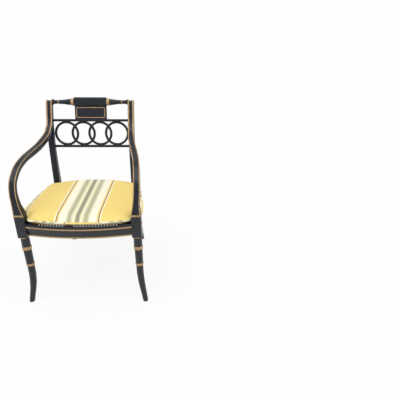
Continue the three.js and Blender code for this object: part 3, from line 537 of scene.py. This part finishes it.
def railSection():
    top, foot, rise, half = seat["top"], seat["top"] - rail["height"], rail["rise"], rail["line"] / 2
    upper, lower = top - rail["nose"], foot + half + rise
    rebate = top - rail["rebateDepth"]
    # points marked 2 are the rail's top and rebate, which take the darker painted-shade copy of the lacquer;
    # 1 is the gilt line, 0 the plain black
    points = [(rail["thickness"], rebate, 0), (rail["rebate"], rebate, 0), (rail["rebate"], top, 2),
              (rail["line"], top, 2)]
    for step in range(1, rail["roundSteps"] + 1):
        turn = pi / 2 * step / rail["roundSteps"]
        points.append((mix(rail["line"], rise, sin(turn)), top - rail["fall"] * rise * (1 - cos(turn)), 2))
    points.append((rise, upper + half, 1))
    for middle, out in ((upper, 0), (lower, rail["setback"])):
        if middle == lower:
            points.append((out + rise, middle + half, 1))
        for step in range(1, rail["lineSteps"]):
            turn = pi * step / rail["lineSteps"]
            points.append((out + rise - rise * sin(turn), middle + half * cos(turn), 1))
        points.append((out + rise, middle - half, 0))
    points += [(rail["setback"] + 2 * rise, foot, 0), (rail["thickness"], foot, 0)]
    return points


section = railSection()


def railMesh(stations, pointAt):
    mesh = bmesh.new()
    skin(mesh, [[Vector((*pointAt(step / stations, back), height)) for back, height, _ in section]
                for step in range(stations + 1)], lambda ring, point: section[point][2])
    return mesh


def frontRailAt(share, back):
    x = (rail["inner"] + rail["letIn"]) * mix(-1, 1, share)
    return x, bowAt(x) + back


addPiece("front_rail", railMesh(rail["stations"], frontRailAt), [black, gold, shadedBlack])

railHead = postAt(seat["top"] - rail["height"] / 2)
blockBack = block["front"] + block["depth"]
sideFront, sideBack = (seat["legSpread"] + block["width"]) / 2, (seat["spread"] + post["width"]) / 2


def sideAt(y):
    return mix(sideFront, sideBack, (y - blockBack) / (railHead["front"].y - blockBack))


def sideRailAt(share, back):
    y = mix(blockBack - rail["sideLetIn"][0], railHead["front"].y + rail["sideLetIn"][1], share)
    return sideAt(y) - back, y


addPiece("side_rail", railMesh(rail["sideStations"], sideRailAt), [black, gold, shadedBlack], both)


def barMesh(mesh, length, depth, height, corner, place, edge=0.8, stations=12):
    ends = [(-length / 2, edge), (-length / 2 + edge * 0.3, edge * 0.3), (-length / 2 + edge, 0)]
    body = [(mix(-length / 2 + edge, length / 2 - edge, step / stations), 0) for step in range(1, stations)]
    skin(mesh, [[place @ Vector((x, a, b)) for a, b in roundedCorners(
        depth / 2 - inset, height / 2 - inset, max(corner - inset, 0.1), 4)]
        for x, inset in ends + body + [(-x, inset) for x, inset in reversed(ends)]])


def placed(y, z, lean=0.0):
    return Matrix.Translation((0, y, z)) @ Matrix.Rotation(-lean, 4, "X")


mesh = bmesh.new()
rearY = railHead["centre"].y
rearBack = rearY + rearRail["depth"] / 2
barMesh(mesh, rearRail["length"], rearRail["depth"], rail["height"] - rail["rebateDepth"], rearRail["corner"],
        placed(rearY, seat["top"] - (rail["height"] + rail["rebateDepth"]) / 2))
barMesh(mesh, rearRail["length"], rearRail["ledgeDepth"], rearRail["ledgeHeight"], rearRail["corner"],
        placed(rearBack - rearRail["ledgeDepth"] / 2, seat["top"] - rearRail["ledgeHeight"] / 2))
addPiece("rear_rail", mesh, [black])
print("rails made")

# Slats, rings, crest and panel


def middleOf(node):
    low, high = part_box(node)
    middle = (low + high) * 500
    return Vector((0, middle.y - frontPlane * 1000, middle.z))


crest = {
    "tablet": 162, "height": 43, "rise": 1.5, "depth": 28, "round": 7, "diameter": 37, "length": 110.6,
    "sides": 48, "start": -2, "stations": 70, "edge": 1.6, "offset": (4, 3.5),
    "profile": smoothTable([(-2, 0.8), (16.6, 0.82), (18.4, 0.85), (25, 0.81), (37, 0.72), (49, 0.63),
                            (61, 0.575), (73, 0.54), (80, 0.515), (87, 0.5), (94, 0.51), (101, 0.6),
                            (108.7, 0.76), (110.6, 0.78)]),
    "beads": [(8.6, 7.2, 0.97), (78, 2.3, 0.585)],
}
lowerSlat, upperSlat = middleOf("lower_slat"), middleOf("upper_slat")
crestAxis = Vector((0, post["line"][-1].y + crest["offset"][0], post["line"][-1].z + crest["offset"][1]))
lean = atan2(upperSlat.y - lowerSlat.y, upperSlat.z - lowerSlat.z)
crestLean = atan2(crestAxis.y - upperSlat.y, crestAxis.z - upperSlat.z)
backFrame = placed(lowerSlat.y, lowerSlat.z, lean)
crestFrame = placed(crestAxis.y, crestAxis.z, crestLean)
slat = {"length": 386, "depth": 14, "thickness": 12, "corner": 2.4, "pitch": 131.2}
for name, height in (("lower_slat", 0), ("upper_slat", slat["pitch"])):
    mesh = bmesh.new()
    barMesh(mesh, slat["length"], slat["depth"], slat["thickness"], slat["corner"],
            backFrame @ Matrix.Translation((0, 0, height)))
    addPiece(name, mesh, [shadedBlack])

hoop = {"count": 4, "radius": 62, "bar": 12, "depth": 10, "pitch": 85.33, "segments": 160, "corner": 3.2,
        "sink": 0.5, "ease": (1.2, 2.8)}


def ringMesh(index):
    mesh = bmesh.new()
    middleX = (index - (hoop["count"] - 1) / 2) * hoop["pitch"]
    mean = hoop["radius"] - hoop["bar"] / 2
    rings = []
    for segment in range(hoop["segments"]):
        turn = 2 * pi * segment / hoop["segments"]
        x, z = middleX + mean * cos(turn), slat["pitch"] / 2 + mean * sin(turn)
        gaps = []
        for side in (-1, 1):
            other = middleX + side * hoop["pitch"]
            near = abs(hypot(x - other, z - slat["pitch"] / 2) - mean) - hoop["bar"] / 2
            present = 0 <= index + side < hoop["count"]
            covered = 1 - ramp(near, *hoop["ease"])
            gaps.append(hoop["sink"] * covered if present else 0)
        frontSink, backSink = gaps
        outward = Vector((cos(turn), 0, sin(turn)))
        ring = []
        for out, back in roundedCorners(hoop["bar"] / 2, hoop["depth"] / 2, hoop["corner"], 4):
            y = back + (frontSink if back < 0 else -backSink)
            ring.append(backFrame @ (Vector((x, y, z)) + outward * out))
        rings.append(ring)
    skin(mesh, rings, closed=True)
    return mesh


for index in range(hoop["count"]):
    addPiece(f"ring_{index + 1}", ringMesh(index), [shadedBlack])

mesh = bmesh.new()
halfTablet = crest["tablet"] / 2
for side in (-1, 1):
    rings, gilt = [], []
    for along in beadStations(crest["start"], crest["length"], crest["stations"], crest["beads"]):
        radius, isBead = beadRadius(crest["beads"], along, readTable(crest["profile"], along))
        x = side * (halfTablet + along)
        rings.append([crestFrame @ point for point in turnedRing(
            Vector((x, 0, 0)), inDepth, upward, radius * crest["diameter"] / 2, crest["sides"])])
        gilt.append(isBead)
    skin(mesh, rings, lambda ring, point: int(gilt[ring] and gilt[ring + 1]))
barMesh(mesh, crest["tablet"], crest["depth"], crest["height"], crest["round"],
        crestFrame @ Matrix.Translation((0, 0, crest["rise"])), edge=crest["edge"])
addPiece("crest_rail", mesh, [shadedBlack, gold])

panel = {"length": 159.8, "thickness": 12, "top": -20.4, "foot": -84.5, "setback": 1, "sideInset": 7,
         "inset": 5.4, "line": 4.0, "lift": 0.7, "sunk": 0.2, "edge": 1.2}
mesh = bmesh.new()
low, high = panel["foot"], panel["top"]
panelFrame = crestFrame @ Matrix.Translation((0, panel["setback"], (low + high) / 2))
barMesh(mesh, panel["length"], panel["thickness"], high - low, panel["edge"], panelFrame, edge=panel["edge"])


def frameLine(mesh):
    halfX, halfZ = panel["length"] / 2 - panel["sideInset"], (high - low) / 2 - panel["inset"]
    y, width = panel["sunk"] - panel["thickness"] / 2, panel["line"]
    profile = [(0.0, 0.0), (0.15, 0.6), (0.35, 0.92), (0.5, 1.0), (0.65, 0.92), (0.85, 0.6), (1.0, 0.0)]
    rows = [[mesh.verts.new(panelFrame @ Vector((sx * (halfX - width * place), y - panel["lift"] * up,
                                                 sz * (halfZ - width * place)))) for place, up in profile]
            for sx, sz in ((-1, -1), (1, -1), (1, 1), (-1, 1))]
    for row, following in zip(rows, rows[1:] + rows[:1]):
        for i in range(-1, len(profile) - 1):
            mesh.faces.new((row[i], row[i + 1], following[i + 1], following[i])).material_index = 1


frameLine(mesh)
addPiece("crest_panel", mesh, [shadedBlack, gold])
print("back made")

# Nodes shown as they are

# the cane binding is black with the frame, and takes the darker painted-shade copy of the lacquer
plainNodes = {"corner_block": beech, "dowel": beech, "pin": beech, "screw": steel, "cane_binding": shadedBlack}
for name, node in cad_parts.items():
    for word, material in plainNodes.items():
        if word in name:
            node.data.materials.clear()
            node.data.materials.append(material)
print("nodes shown as they are finished")

# Cane seat: pairs of strands both ways and single strands across the corners, swept by a node tree

weave = {"pitch": 13.35, "pair": 1.7, "level": 428.75, "lift": 0.62, "inset": 13, "halfWidth": 1.05,
         "halfThickness": 0.28, "shortest": 12, "postInner": 190, "endGap": 1.2, "cells": (-24, 40),
         "slants": (-64, 90), "crossings": (-80, 160), "overLift": 1.3, "underLift": 0.35, "slantWidth": 1.15}


def postFrontY(relief):
    return railHead["front"].y - relief - clearance


def sideOutline(front, side, relief, draw=0.0, steps=10):
    end = rail["inner"] - relief
    blockY, postY = blockBack + relief, postFrontY(relief)
    points = [(x, bowAt(x) + front) for x in ((end - relief) * step / steps for step in range(steps + 1))]
    points += [(end, mix(bowAt(end) + front, blockY, 0.3)), (end, blockY),
               (sideAt(blockY) - side - draw, blockY + relief)]
    for share in (0.12, 0.3, 0.55, 0.8):
        y = mix(blockY, postY, share)
        points.append((sideAt(y) - side - draw * max(1 - share / 0.3, 0), y))
    return points


def wholeOutline(half):
    return [Vector((x, y, 0)) for x, y in half + [(-x, y) for x, y in half[-2:0:-1]]]


def caneOutline(inset):
    inner, postY, rearLine = weave["postInner"] - inset, postFrontY(inset), rearBack - inset
    return wholeOutline(sideOutline(inset, inset, inset) + [
        (sideAt(postY) - inset, postY - inset), (inner, postY), (inner, rearLine), (inner / 2, rearLine),
        (0, rearLine)])


def clipped(outline, start, heading):
    normal = Vector((-heading.y, heading.x, 0))
    cuts = []
    for a, b in zip(outline, outline[1:] + outline[:1]):
        da, db = (a - start).dot(normal), (b - start).dot(normal)
        if (da < 0) != (db < 0):
            cuts.append((a.lerp(b, da / (da - db)) - start).dot(heading))
    cuts.sort()
    return [(low, high) for low, high in zip(cuts[::2], cuts[1::2]) if high - low > weave["shortest"]]


def strand(lines, outline, start, heading, height, stops):
    for low, high in clipped(outline, start, heading):
        inner = [along for along in stops if low + weave["endGap"] < along < high - weave["endGap"]]
        points = [start + heading * along + upward * (weave["level"] + height(along)) for along in inner]
        ends = [start + heading * along + upward * weave["level"] for along in (low, high)]
        lines.append([ends[0], *points, ends[1]])


def linesMesh(name, lines):
    data = bpy.data.meshes.new(name)
    points, edges = [], []
    for line in lines:
        edges += [(len(points) + i, len(points) + i + 1) for i in range(len(line) - 1)]
        points += [(point + Vector((0, frontPlane * 1000, 0))) / 1000 for point in line]
    data.from_pydata(points, edges, [])
    return data


seatOutline = caneOutline(weave["inset"])
pitch, pair, lift = weave["pitch"], weave["pair"], weave["lift"]
cells = range(*weave["cells"])


def pairHeight(along, part):
    crossing = (along - pair) / pitch
    over = round(crossing) * pitch + pair > along - 0.01 and abs(crossing % 1) < 0.01
    return lift * (1 if over else -1) * part


straight, slanted = [], []
for cell in cells:
    for part in (-1, 1):
        stops = [k * pitch + side * pair for k in cells for side in (-1, 1)]
        strand(straight, seatOutline, Vector((cell * pitch + part * pair, 0, 0)), inDepth,
               lambda along, part=part: -lift * 0.5 * part, stops)
        strand(straight, seatOutline, Vector((0, cell * pitch + part * pair, 0)), across,
               lambda along, part=part: pairHeight(along, part), stops)
diagonal = sqrt(0.5)
stops = [k * pitch / 2 / diagonal for k in range(*weave["crossings"])]


def slantHeight(along, side):
    over = round(along * diagonal * 2 / pitch) % 2 == 0
    return side * lift * (weave["overLift"] if over else weave["underLift"])


for line in range(*weave["slants"]):
    for side in (-1, 1):
        strand(slanted, seatOutline, Vector((line * pitch, 0, 0)), Vector((side, 1, 0)) * diagonal,
               lambda along, side=side: slantHeight(along, side), stops)


def strandTree():
    tree = bpy.data.node_groups.new("caneStrands", "GeometryNodeTree")
    for name, kind in (("Geometry", "Geometry"), ("Half width", "Float"), ("Half thickness", "Float"),
                       ("Material", "Material")):
        tree.interface.new_socket(name, in_out="INPUT", socket_type="NodeSocket" + kind)
    tree.interface.new_socket("Geometry", in_out="OUTPUT", socket_type="NodeSocketGeometry")
    entry = addNode(tree, "NodeGroupInput").outputs
    curve = addNode(tree, "GeometryNodeMeshToCurve", {"Mesh": entry["Geometry"]})
    path = addNode(tree, "GeometryNodeSetCurveNormal", {"Curve": curve.outputs["Curve"]}, mode="Z_UP")
    scale = addNode(tree, "ShaderNodeCombineXYZ", {"X": entry["Half width"], "Y": entry["Half thickness"]},
                    Z=1.0)
    circle = addNode(tree, "GeometryNodeCurvePrimitiveCircle", Resolution=6, Radius=1.0)
    shape = addNode(tree, "GeometryNodeTransform", {"Geometry": circle.outputs["Curve"],
                                                    "Scale": scale.outputs["Vector"]})
    sweep = addNode(tree, "GeometryNodeCurveToMesh", {"Curve": path.outputs["Curve"],
                                                      "Profile Curve": shape.outputs["Geometry"]})
    sweep.inputs["Fill Caps"].default_value = True
    paint = addNode(tree, "GeometryNodeSetMaterial", {"Geometry": sweep.outputs["Mesh"],
                                                      "Material": entry["Material"]})
    addNode(tree, "NodeGroupOutput", {"Geometry": paint.outputs["Geometry"]})
    return tree


def swept(name, lines, halfWidth, halfThickness, material):
    source = linked(name + "_source", linesMesh(name, lines))
    modifier = source.modifiers.new("tree", "NODES")
    modifier.node_group = sweepTree
    values = {"Half width": halfWidth / 1000, "Half thickness": halfThickness / 1000, "Material": material}
    for item in sweepTree.interface.items_tree:
        if item.in_out == "INPUT" and item.name in values:
            modifier[item.identifier] = values[item.name]
    piece = linked(name, applied(source))
    piece.data.shade_smooth()
    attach(piece, "chair_frame")
    return piece


sweepTree = strandTree()
for name, lines, width in (("cane_strands", straight, 1),
                           ("cane_slanted_strands", slanted, weave["slantWidth"])):
    piece = swept(name, lines, weave["halfWidth"] * width, weave["halfThickness"], cane)
    piece.data.set_sharp_from_angle(angle=radians(50))
    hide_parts("cane_panel")
    print(name, len(piece.data.polygons), "faces")

# Ties over the binding, one at each hole but where the front ones are hidden or worn off

tie = {"half": 3.7, "rise": 0.99, "halfWidth": 2.2, "halfThickness": 0.5, "level": 430.5, "outward": 1.0,
       "skew": 0.25, "frontReach": 176, "worn": (-58, -24)}


def loopPath(outline, spacing, smoothing=0):
    closed = outline + outline[:1]
    lengths = sum((b - a).length for a, b in zip(closed, closed[1:]))
    places = [place for place, _ in evenly(closed, max(round(lengths / spacing), 3))][:-1]
    for _ in range(smoothing):
        places = [(a + b * 2 + c) / 4
                  for a, b, c in zip(places[-1:] + places[:-1], places, places[1:] + places[:1])]
    return places


def tieLines():
    lines, holes = [], loopPath(seatOutline, weave["pitch"])
    for before, hole, after in zip(holes[-1:] + holes[:-1], holes, holes[1:] + holes[:1]):
        atFront = hole.y < blockBack
        if atFront and (abs(hole.x) > tie["frontReach"] or tie["worn"][0] < hole.x < tie["worn"][1]):
            continue
        heading = (after - before).normalized()
        inward = Vector((-heading.y, heading.x, 0))
        skew = rng.uniform(-tie["skew"], tie["skew"])
        line = []
        for share in (-1, -0.8, -0.45, 0, 0.45, 0.8, 1):
            line.append(hole - inward * tie["outward"] + (inward + heading * skew) * tie["half"] * share
                        + upward * (tie["level"] + tie["rise"] * (1 - share ** 4)))
        lines.append(line)
    return lines


swept("cane_ties", tieLines(), tie["halfWidth"], tie["halfThickness"], paleCane)
print("cane seat made")

# Cushion: the frame's form, blown up a little by cloth simulation and held at its seam

cushion = {"front": 15, "side": -9, "rear": 1, "relief": 5, "draw": 14, "seam": 445.5, "voxel": 0.0047,
           "step": 4, "smoothing": 10, "held": (0.004, 0.011), "pressure": 1.2, "frames": 20, "cap": 0.003,
           "floor": 0.4312, "fullness": 0.5, "aside": 0.0025,
           "pucker": 0.0007, "slowPucker": 0.35, "rises": (0.002, 0.009), "fades": (0.012, 0.05),
           "rearShares": [(1.25, -0.59), (1.2, -0.27), (1.125, -0.11), (1.04, -0.02), (0.96, 0.2),
                          (0.81, 0.48), (0.59, 0.76), (0.32, 0.95), (0, 1)]}
striping = {"reach": 0.28, "middle": 0.0046, "turn": 0.0203, "stops": [
    (0, (146, 143, 126)), (4.5, (158, 155, 132)), (9, (184, 180, 146)), (11.5, (230, 224, 178)),
    (14, (248, 242, 198)), (18, (250, 245, 206)), (22, (234, 232, 192)), (28, (210, 207, 178)),
    (34, (194, 190, 156)), (36.2, (178, 171, 122)), (39, (178, 171, 122)), (41.4, (198, 195, 164)),
    (47, (204, 201, 176)), (51, (228, 224, 190)), (55.5, (252, 247, 222)), (85, (254, 248, 221)),
    (86.6, (242, 212, 130)), (92.8, (242, 212, 130)), (94.1, (124, 76, 42)), (97.2, (124, 76, 42)),
    (98.4, (255, 250, 218)), (102.8, (255, 250, 218)), (104.6, (248, 219, 127)), (241.5, (248, 219, 127)),
    (243.3, (255, 250, 218)), (247.8, (255, 250, 218)), (249, (124, 76, 42)), (252.1, (124, 76, 42)),
    (253.4, (242, 212, 130)), (259.6, (242, 212, 130)), (261.4, (254, 248, 221)), (280, (254, 248, 221))]}


def stripeCloth(name, coordinate):
    material, tree, shader = nodesOf(name)
    stops = [(place / 1000 / striping["reach"], linear(*colour)) for place, colour in striping["stops"]]
    share = addNode(tree, "ShaderNodeMapRange", {"Value": coordinate(tree)},
                    **{"From Max": striping["reach"]}).outputs["Result"]
    stain = noise(tree, objectPoint(tree, (900, 14, 14)), 1, 3)
    shade = addNode(tree, "ShaderNodeMix", data_type="RGBA", blend_type="MULTIPLY", Factor=1.0)
    feed(tree, shade, {6: colourRamp(tree, share, stops),
                       7: colourRamp(tree, stain, [(0.3, (0.92, 0.915, 0.9, 1)), (0.6, (1, 1, 1, 1))])})
    weft = noise(tree, objectPoint(tree, (500, 2600, 500)), 1, 2)
    warp = noise(tree, objectPoint(tree, (2600, 500, 500)), 1, 2)
    thread = addNode(tree, "ShaderNodeMath", {0: weft, 1: warp}, operation="MULTIPLY").outputs[0]
    feed(tree, shader, {"Base Color": shade.outputs[2], "Roughness": spread(tree, thread, 0.7, 0.92),
                        "Normal": bump(tree, thread, 0.3, 0.0006)})
    shader.inputs["Sheen Weight"].default_value = 0.15
    return material


def acrossSeat(tree):
    point = objectPoint(tree, turn=striping["turn"], place=(-striping["middle"], 0, 0))
    parts = addNode(tree, "ShaderNodeSeparateXYZ", {0: point})
    return addNode(tree, "ShaderNodeMath", {0: parts.outputs["X"]}, operation="ABSOLUTE").outputs[0]


cloth = stripeCloth("striped_cloth", acrossSeat)
frontOfPost, rearEdge = postFrontY(cushion["relief"]), rearBack - cushion["rear"]
seamOutline = wholeOutline(
    sideOutline(*(cushion[key] for key in ("front", "side", "relief", "draw")))
    + [(x * (weave["postInner"] - cushion["relief"]), mix(frontOfPost, rearEdge, back))
       for x, back in cushion["rearShares"]])
seamPath = [Vector((point.x / 1000, point.y / 1000 + frontPlane, cushion["seam"] / 1000))
            for point in loopPath(seamOutline, cushion["step"], cushion["smoothing"])]
print("cloth and seam made")


def cushionSource():
    mesh = bmesh.new()
    mesh.from_mesh(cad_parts["cushion"].data)
    bmesh.ops.remove_doubles(mesh, verts=mesh.verts, dist=1e-5)
    source = linked("cushion_source", baked("cushion_source", mesh))
    remesh = source.modifiers.new("remesh", "REMESH")
    remesh.mode = "VOXEL"
    remesh.voxel_size = cushion["voxel"]
    smooth = source.modifiers.new("smooth", "SMOOTH")
    smooth.iterations = 4
    return applied(source)


def seamDistances(vertices):
    tree = kdtree.KDTree(len(seamPath))
    for index, point in enumerate(seamPath):
        tree.insert(point, index)
    tree.balance()
    return [tree.find(vertex.co) for vertex in vertices]


def inflated(data):
    source = linked("cushion_cloth", data)
    held = source.vertex_groups.new(name="seam")
    for vertex, (_, _, distance) in zip(data.vertices, seamDistances(data.vertices)):
        weight = 1 - ramp(distance, *cushion["held"])
        if weight > 0:
            held.add([vertex.index], weight, "REPLACE")
    sim = source.modifiers.new("cloth", "CLOTH")
    settings = sim.settings
    settings.quality = 6
    settings.mass = 0.25
    settings.tension_stiffness = settings.compression_stiffness = 12
    settings.shear_stiffness = 6
    settings.bending_stiffness = 0.35
    settings.vertex_group_mass = "seam"
    settings.use_pressure = True
    settings.uniform_pressure_force = cushion["pressure"]
    settings.shrink_min = -0.012
    settings.effector_weights.gravity = 0
    sim.point_cache.frame_start, sim.point_cache.frame_end = 1, cushion["frames"]
    for number in range(1, cushion["frames"] + 1):
        scene.frame_set(number)
    swollen = applied(source)
    for vertex, before in zip(swollen.vertices, data.vertices):
        moved = vertex.co - before.co
        if moved.length > cushion["cap"]:
            vertex.co = before.co + moved.normalized() * cushion["cap"]
    scene.frame_set(1)
    return swollen


def fillUnderside(data):
    seam, base = cushion["seam"] / 1000, cushion["floor"]
    for vertex in data.vertices:
        if vertex.co.z < seam:
            depth = min((seam - vertex.co.z) / (seam - base), 1)
            vertex.co.z = mix(seam, base, depth ** cushion["fullness"])


def pucker(data):
    normals = [vertex.normal.copy() for vertex in data.vertices]
    for vertex, normal, (_, index, distance) in zip(data.vertices, normals, seamDistances(data.vertices)):
        along = index * cushion["step"] / 1000
        fall = ramp(distance, *cushion["rises"]) * (1 - ramp(distance, *cushion["fades"]))
        wave = field.noise(Vector((along * 34, 0, 3))) + 0.5 * field.noise(Vector((along * 90, 5, 3)))
        slow = cushion["slowPucker"] * field.noise(vertex.co * 9)
        vertex.co += normal * (cushion["pucker"] * (wave * fall + slow))
        vertex.co.z = max(vertex.co.z, cushion["floor"])


shape = cushionSource()
shape = inflated(shape)
fillUnderside(shape)
pucker(shape)
shape.shade_smooth()
shape.transform(Matrix.Translation((cushion["aside"], 0, 0)))
shape.materials.clear()
shape.materials.append(cloth)
pad = linked("squab", shape)
soft = pad.modifiers.new("soft", "SUBSURF")
soft.levels = soft.render_levels = 1
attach(pad, "cushion")
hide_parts("cushion")
print("cushion made", len(shape.polygons), "faces")

# Welt: a cord in the same cloth, cut on the bias, round the seam


welt = {"radius": 4.1, "sides": 12, "outward": 0.001, "wobble": 0.0007, "swell": 0.05, "mirror": 0.1715,
        "around": 0.0015, "start": 0.1487}


def alongWelt(tree):
    surface = addNode(tree, "ShaderNodeUVMap", uv_map="welt")
    parts = addNode(tree, "ShaderNodeSeparateXYZ", {0: surface.outputs["UV"]})
    slant = addNode(tree, "ShaderNodeMath", {0: parts.outputs["X"], 1: parts.outputs["Y"]}, operation="ADD")
    repeat = addNode(tree, "ShaderNodeMath", {0: slant.outputs[0]}, operation="PINGPONG")
    repeat.inputs[1].default_value = welt["mirror"]
    return repeat.outputs[0]


def weltPiece():
    mesh = bmesh.new()
    layer = mesh.loops.layers.uv.new("welt")
    sides, count, pace = welt["sides"], len(seamPath), cushion["step"] / 1000
    length, repeat = count * pace, 2 * welt["mirror"]
    pace *= round(length / repeat) * repeat / length
    rows = []
    for index, point in enumerate(seamPath):
        heading = (seamPath[(index + 1) % count] - seamPath[index - 1]).normalized()
        outward = Vector((heading.y, -heading.x, 0))
        wobble = welt["wobble"] * field.noise(Vector((index * 0.11, 2, 7)))
        radius = welt["radius"] / 1000 * (1 + welt["swell"] * field.noise(Vector((index * 0.4, 9, 1))))
        centre = point + upward * wobble + outward * welt["outward"]
        rows.append([mesh.verts.new(point) for point in turnedRing(centre, outward, upward, radius, sides)])
    for index in range(count):
        low, high = rows[index], rows[(index + 1) % count]
        for side in range(sides):
            face = mesh.faces.new((low[side], high[side], high[(side + 1) % sides], low[(side + 1) % sides]))
            corners = ((index, side), (index + 1, side), (index + 1, side + 1), (index, side + 1))
            for loop, (row, turn) in zip(face.loops, corners):
                loop[layer].uv = (row * pace + welt["start"], turn * welt["around"])
    bmesh.ops.recalc_face_normals(mesh, faces=mesh.faces)
    data = baked("welt", mesh)
    data.shade_smooth()
    data.transform(Matrix.Translation((cushion["aside"], 0, 0)))
    data.materials.append(stripeCloth("welt_cloth", alongWelt))
    return linked("welt", data)


cord = weltPiece()
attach(cord, "cushion")
print("welt made")

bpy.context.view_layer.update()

# Stage: the floor and the world show white to the camera and in reflections, and light as a grey

stage = {"size": 40, "paper": (0.82, 0.82, 0.82, 1), "white": 0.87, "world": 0.64}


def shine(name, turn, strength, angle):
    data = bpy.data.lights.new(name, "SUN")
    data.energy = strength
    data.angle = radians(angle)
    lamp = linked(name, data)
    lamp.rotation_euler = [radians(value) for value in turn]
    return lamp


mesh = bmesh.new()
bmesh.ops.create_grid(mesh, x_segments=1, y_segments=1, size=stage["size"])
data = baked("floor", mesh)
floor = linked("floor", data)
paper, tree, shader = nodesOf("studio_paper")
shader.inputs["Base Color"].default_value = stage["paper"]
shader.inputs["Roughness"].default_value = 0.9
shader.inputs["Specular IOR Level"].default_value = 0.1


def seenRays(tree):
    path = addNode(tree, "ShaderNodeLightPath")
    seen = path.outputs["Is Camera Ray"]
    for ray in ("Is Glossy Ray", "Is Transmission Ray"):
        seen = addNode(tree, "ShaderNodeMath", {0: seen, 1: path.outputs[ray]},
                       operation="MAXIMUM").outputs[0]
    return seen


def mixedShaders(tree, share, plain, white, target):
    choose = addNode(tree, "ShaderNodeMixShader", {0: share, 1: plain.outputs[0], 2: white.outputs[0]})
    tree.links.new(choose.outputs[0], tree.nodes[target].inputs["Surface"])


white = addNode(tree, "ShaderNodeEmission", Color=(1, 1, 1, 1), Strength=1.0)
share = addNode(tree, "ShaderNodeMath", {0: seenRays(tree)}, operation="MULTIPLY")
share.inputs[1].default_value = stage["white"]
mixedShaders(tree, share.outputs[0], shader, white, "Material Output")
data.materials.append(paper)
key = shine("key", (14, 0, -40), 1.24, 50)
fill = shine("fill", (50, 0, 60), 0.58, 70)
world = bpy.data.worlds.new("studio")
world.use_nodes = True
scene.world = world
tree = world.node_tree
background = tree.nodes["Background"]
background.inputs["Color"].default_value = (1, 1, 1, 1)
background.inputs["Strength"].default_value = stage["world"]
seen = addNode(tree, "ShaderNodeBackground", Color=(1, 1, 1, 1), Strength=1.0)
mixedShaders(tree, seenRays(tree), background, seen, "World Output")

# Camera

view = {"place": (0.5191, frontPlane - 1.48185, 1.4346), "yaw": 0.0208, "pitch": 30.5554, "roll": 0.5113,
        "pixels": 393.477}
ahead = Vector((sin(view["yaw"]), cos(view["yaw"]), 0))
right = ahead.cross(upward)
pitch, roll = radians(view["pitch"]), radians(view["roll"])
forward = ahead * cos(pitch) - upward * sin(pitch)
above = right.cross(forward)
camRight = right * cos(roll) + above * sin(roll)
camUp = above * cos(roll) - right * sin(roll)
lens = bpy.data.cameras.new("camera")
lens.sensor_width = 36
lens.lens = view["pixels"] * lens.sensor_width / 400
lens.clip_end = 200
camera = linked("camera", lens)
turn = Matrix((camRight, camUp, -forward)).transposed().to_4x4()
camera.matrix_world = Matrix.Translation(view["place"]) @ turn
scene.camera = camera
scene.view_settings.view_transform = "Standard"

print("scene made")
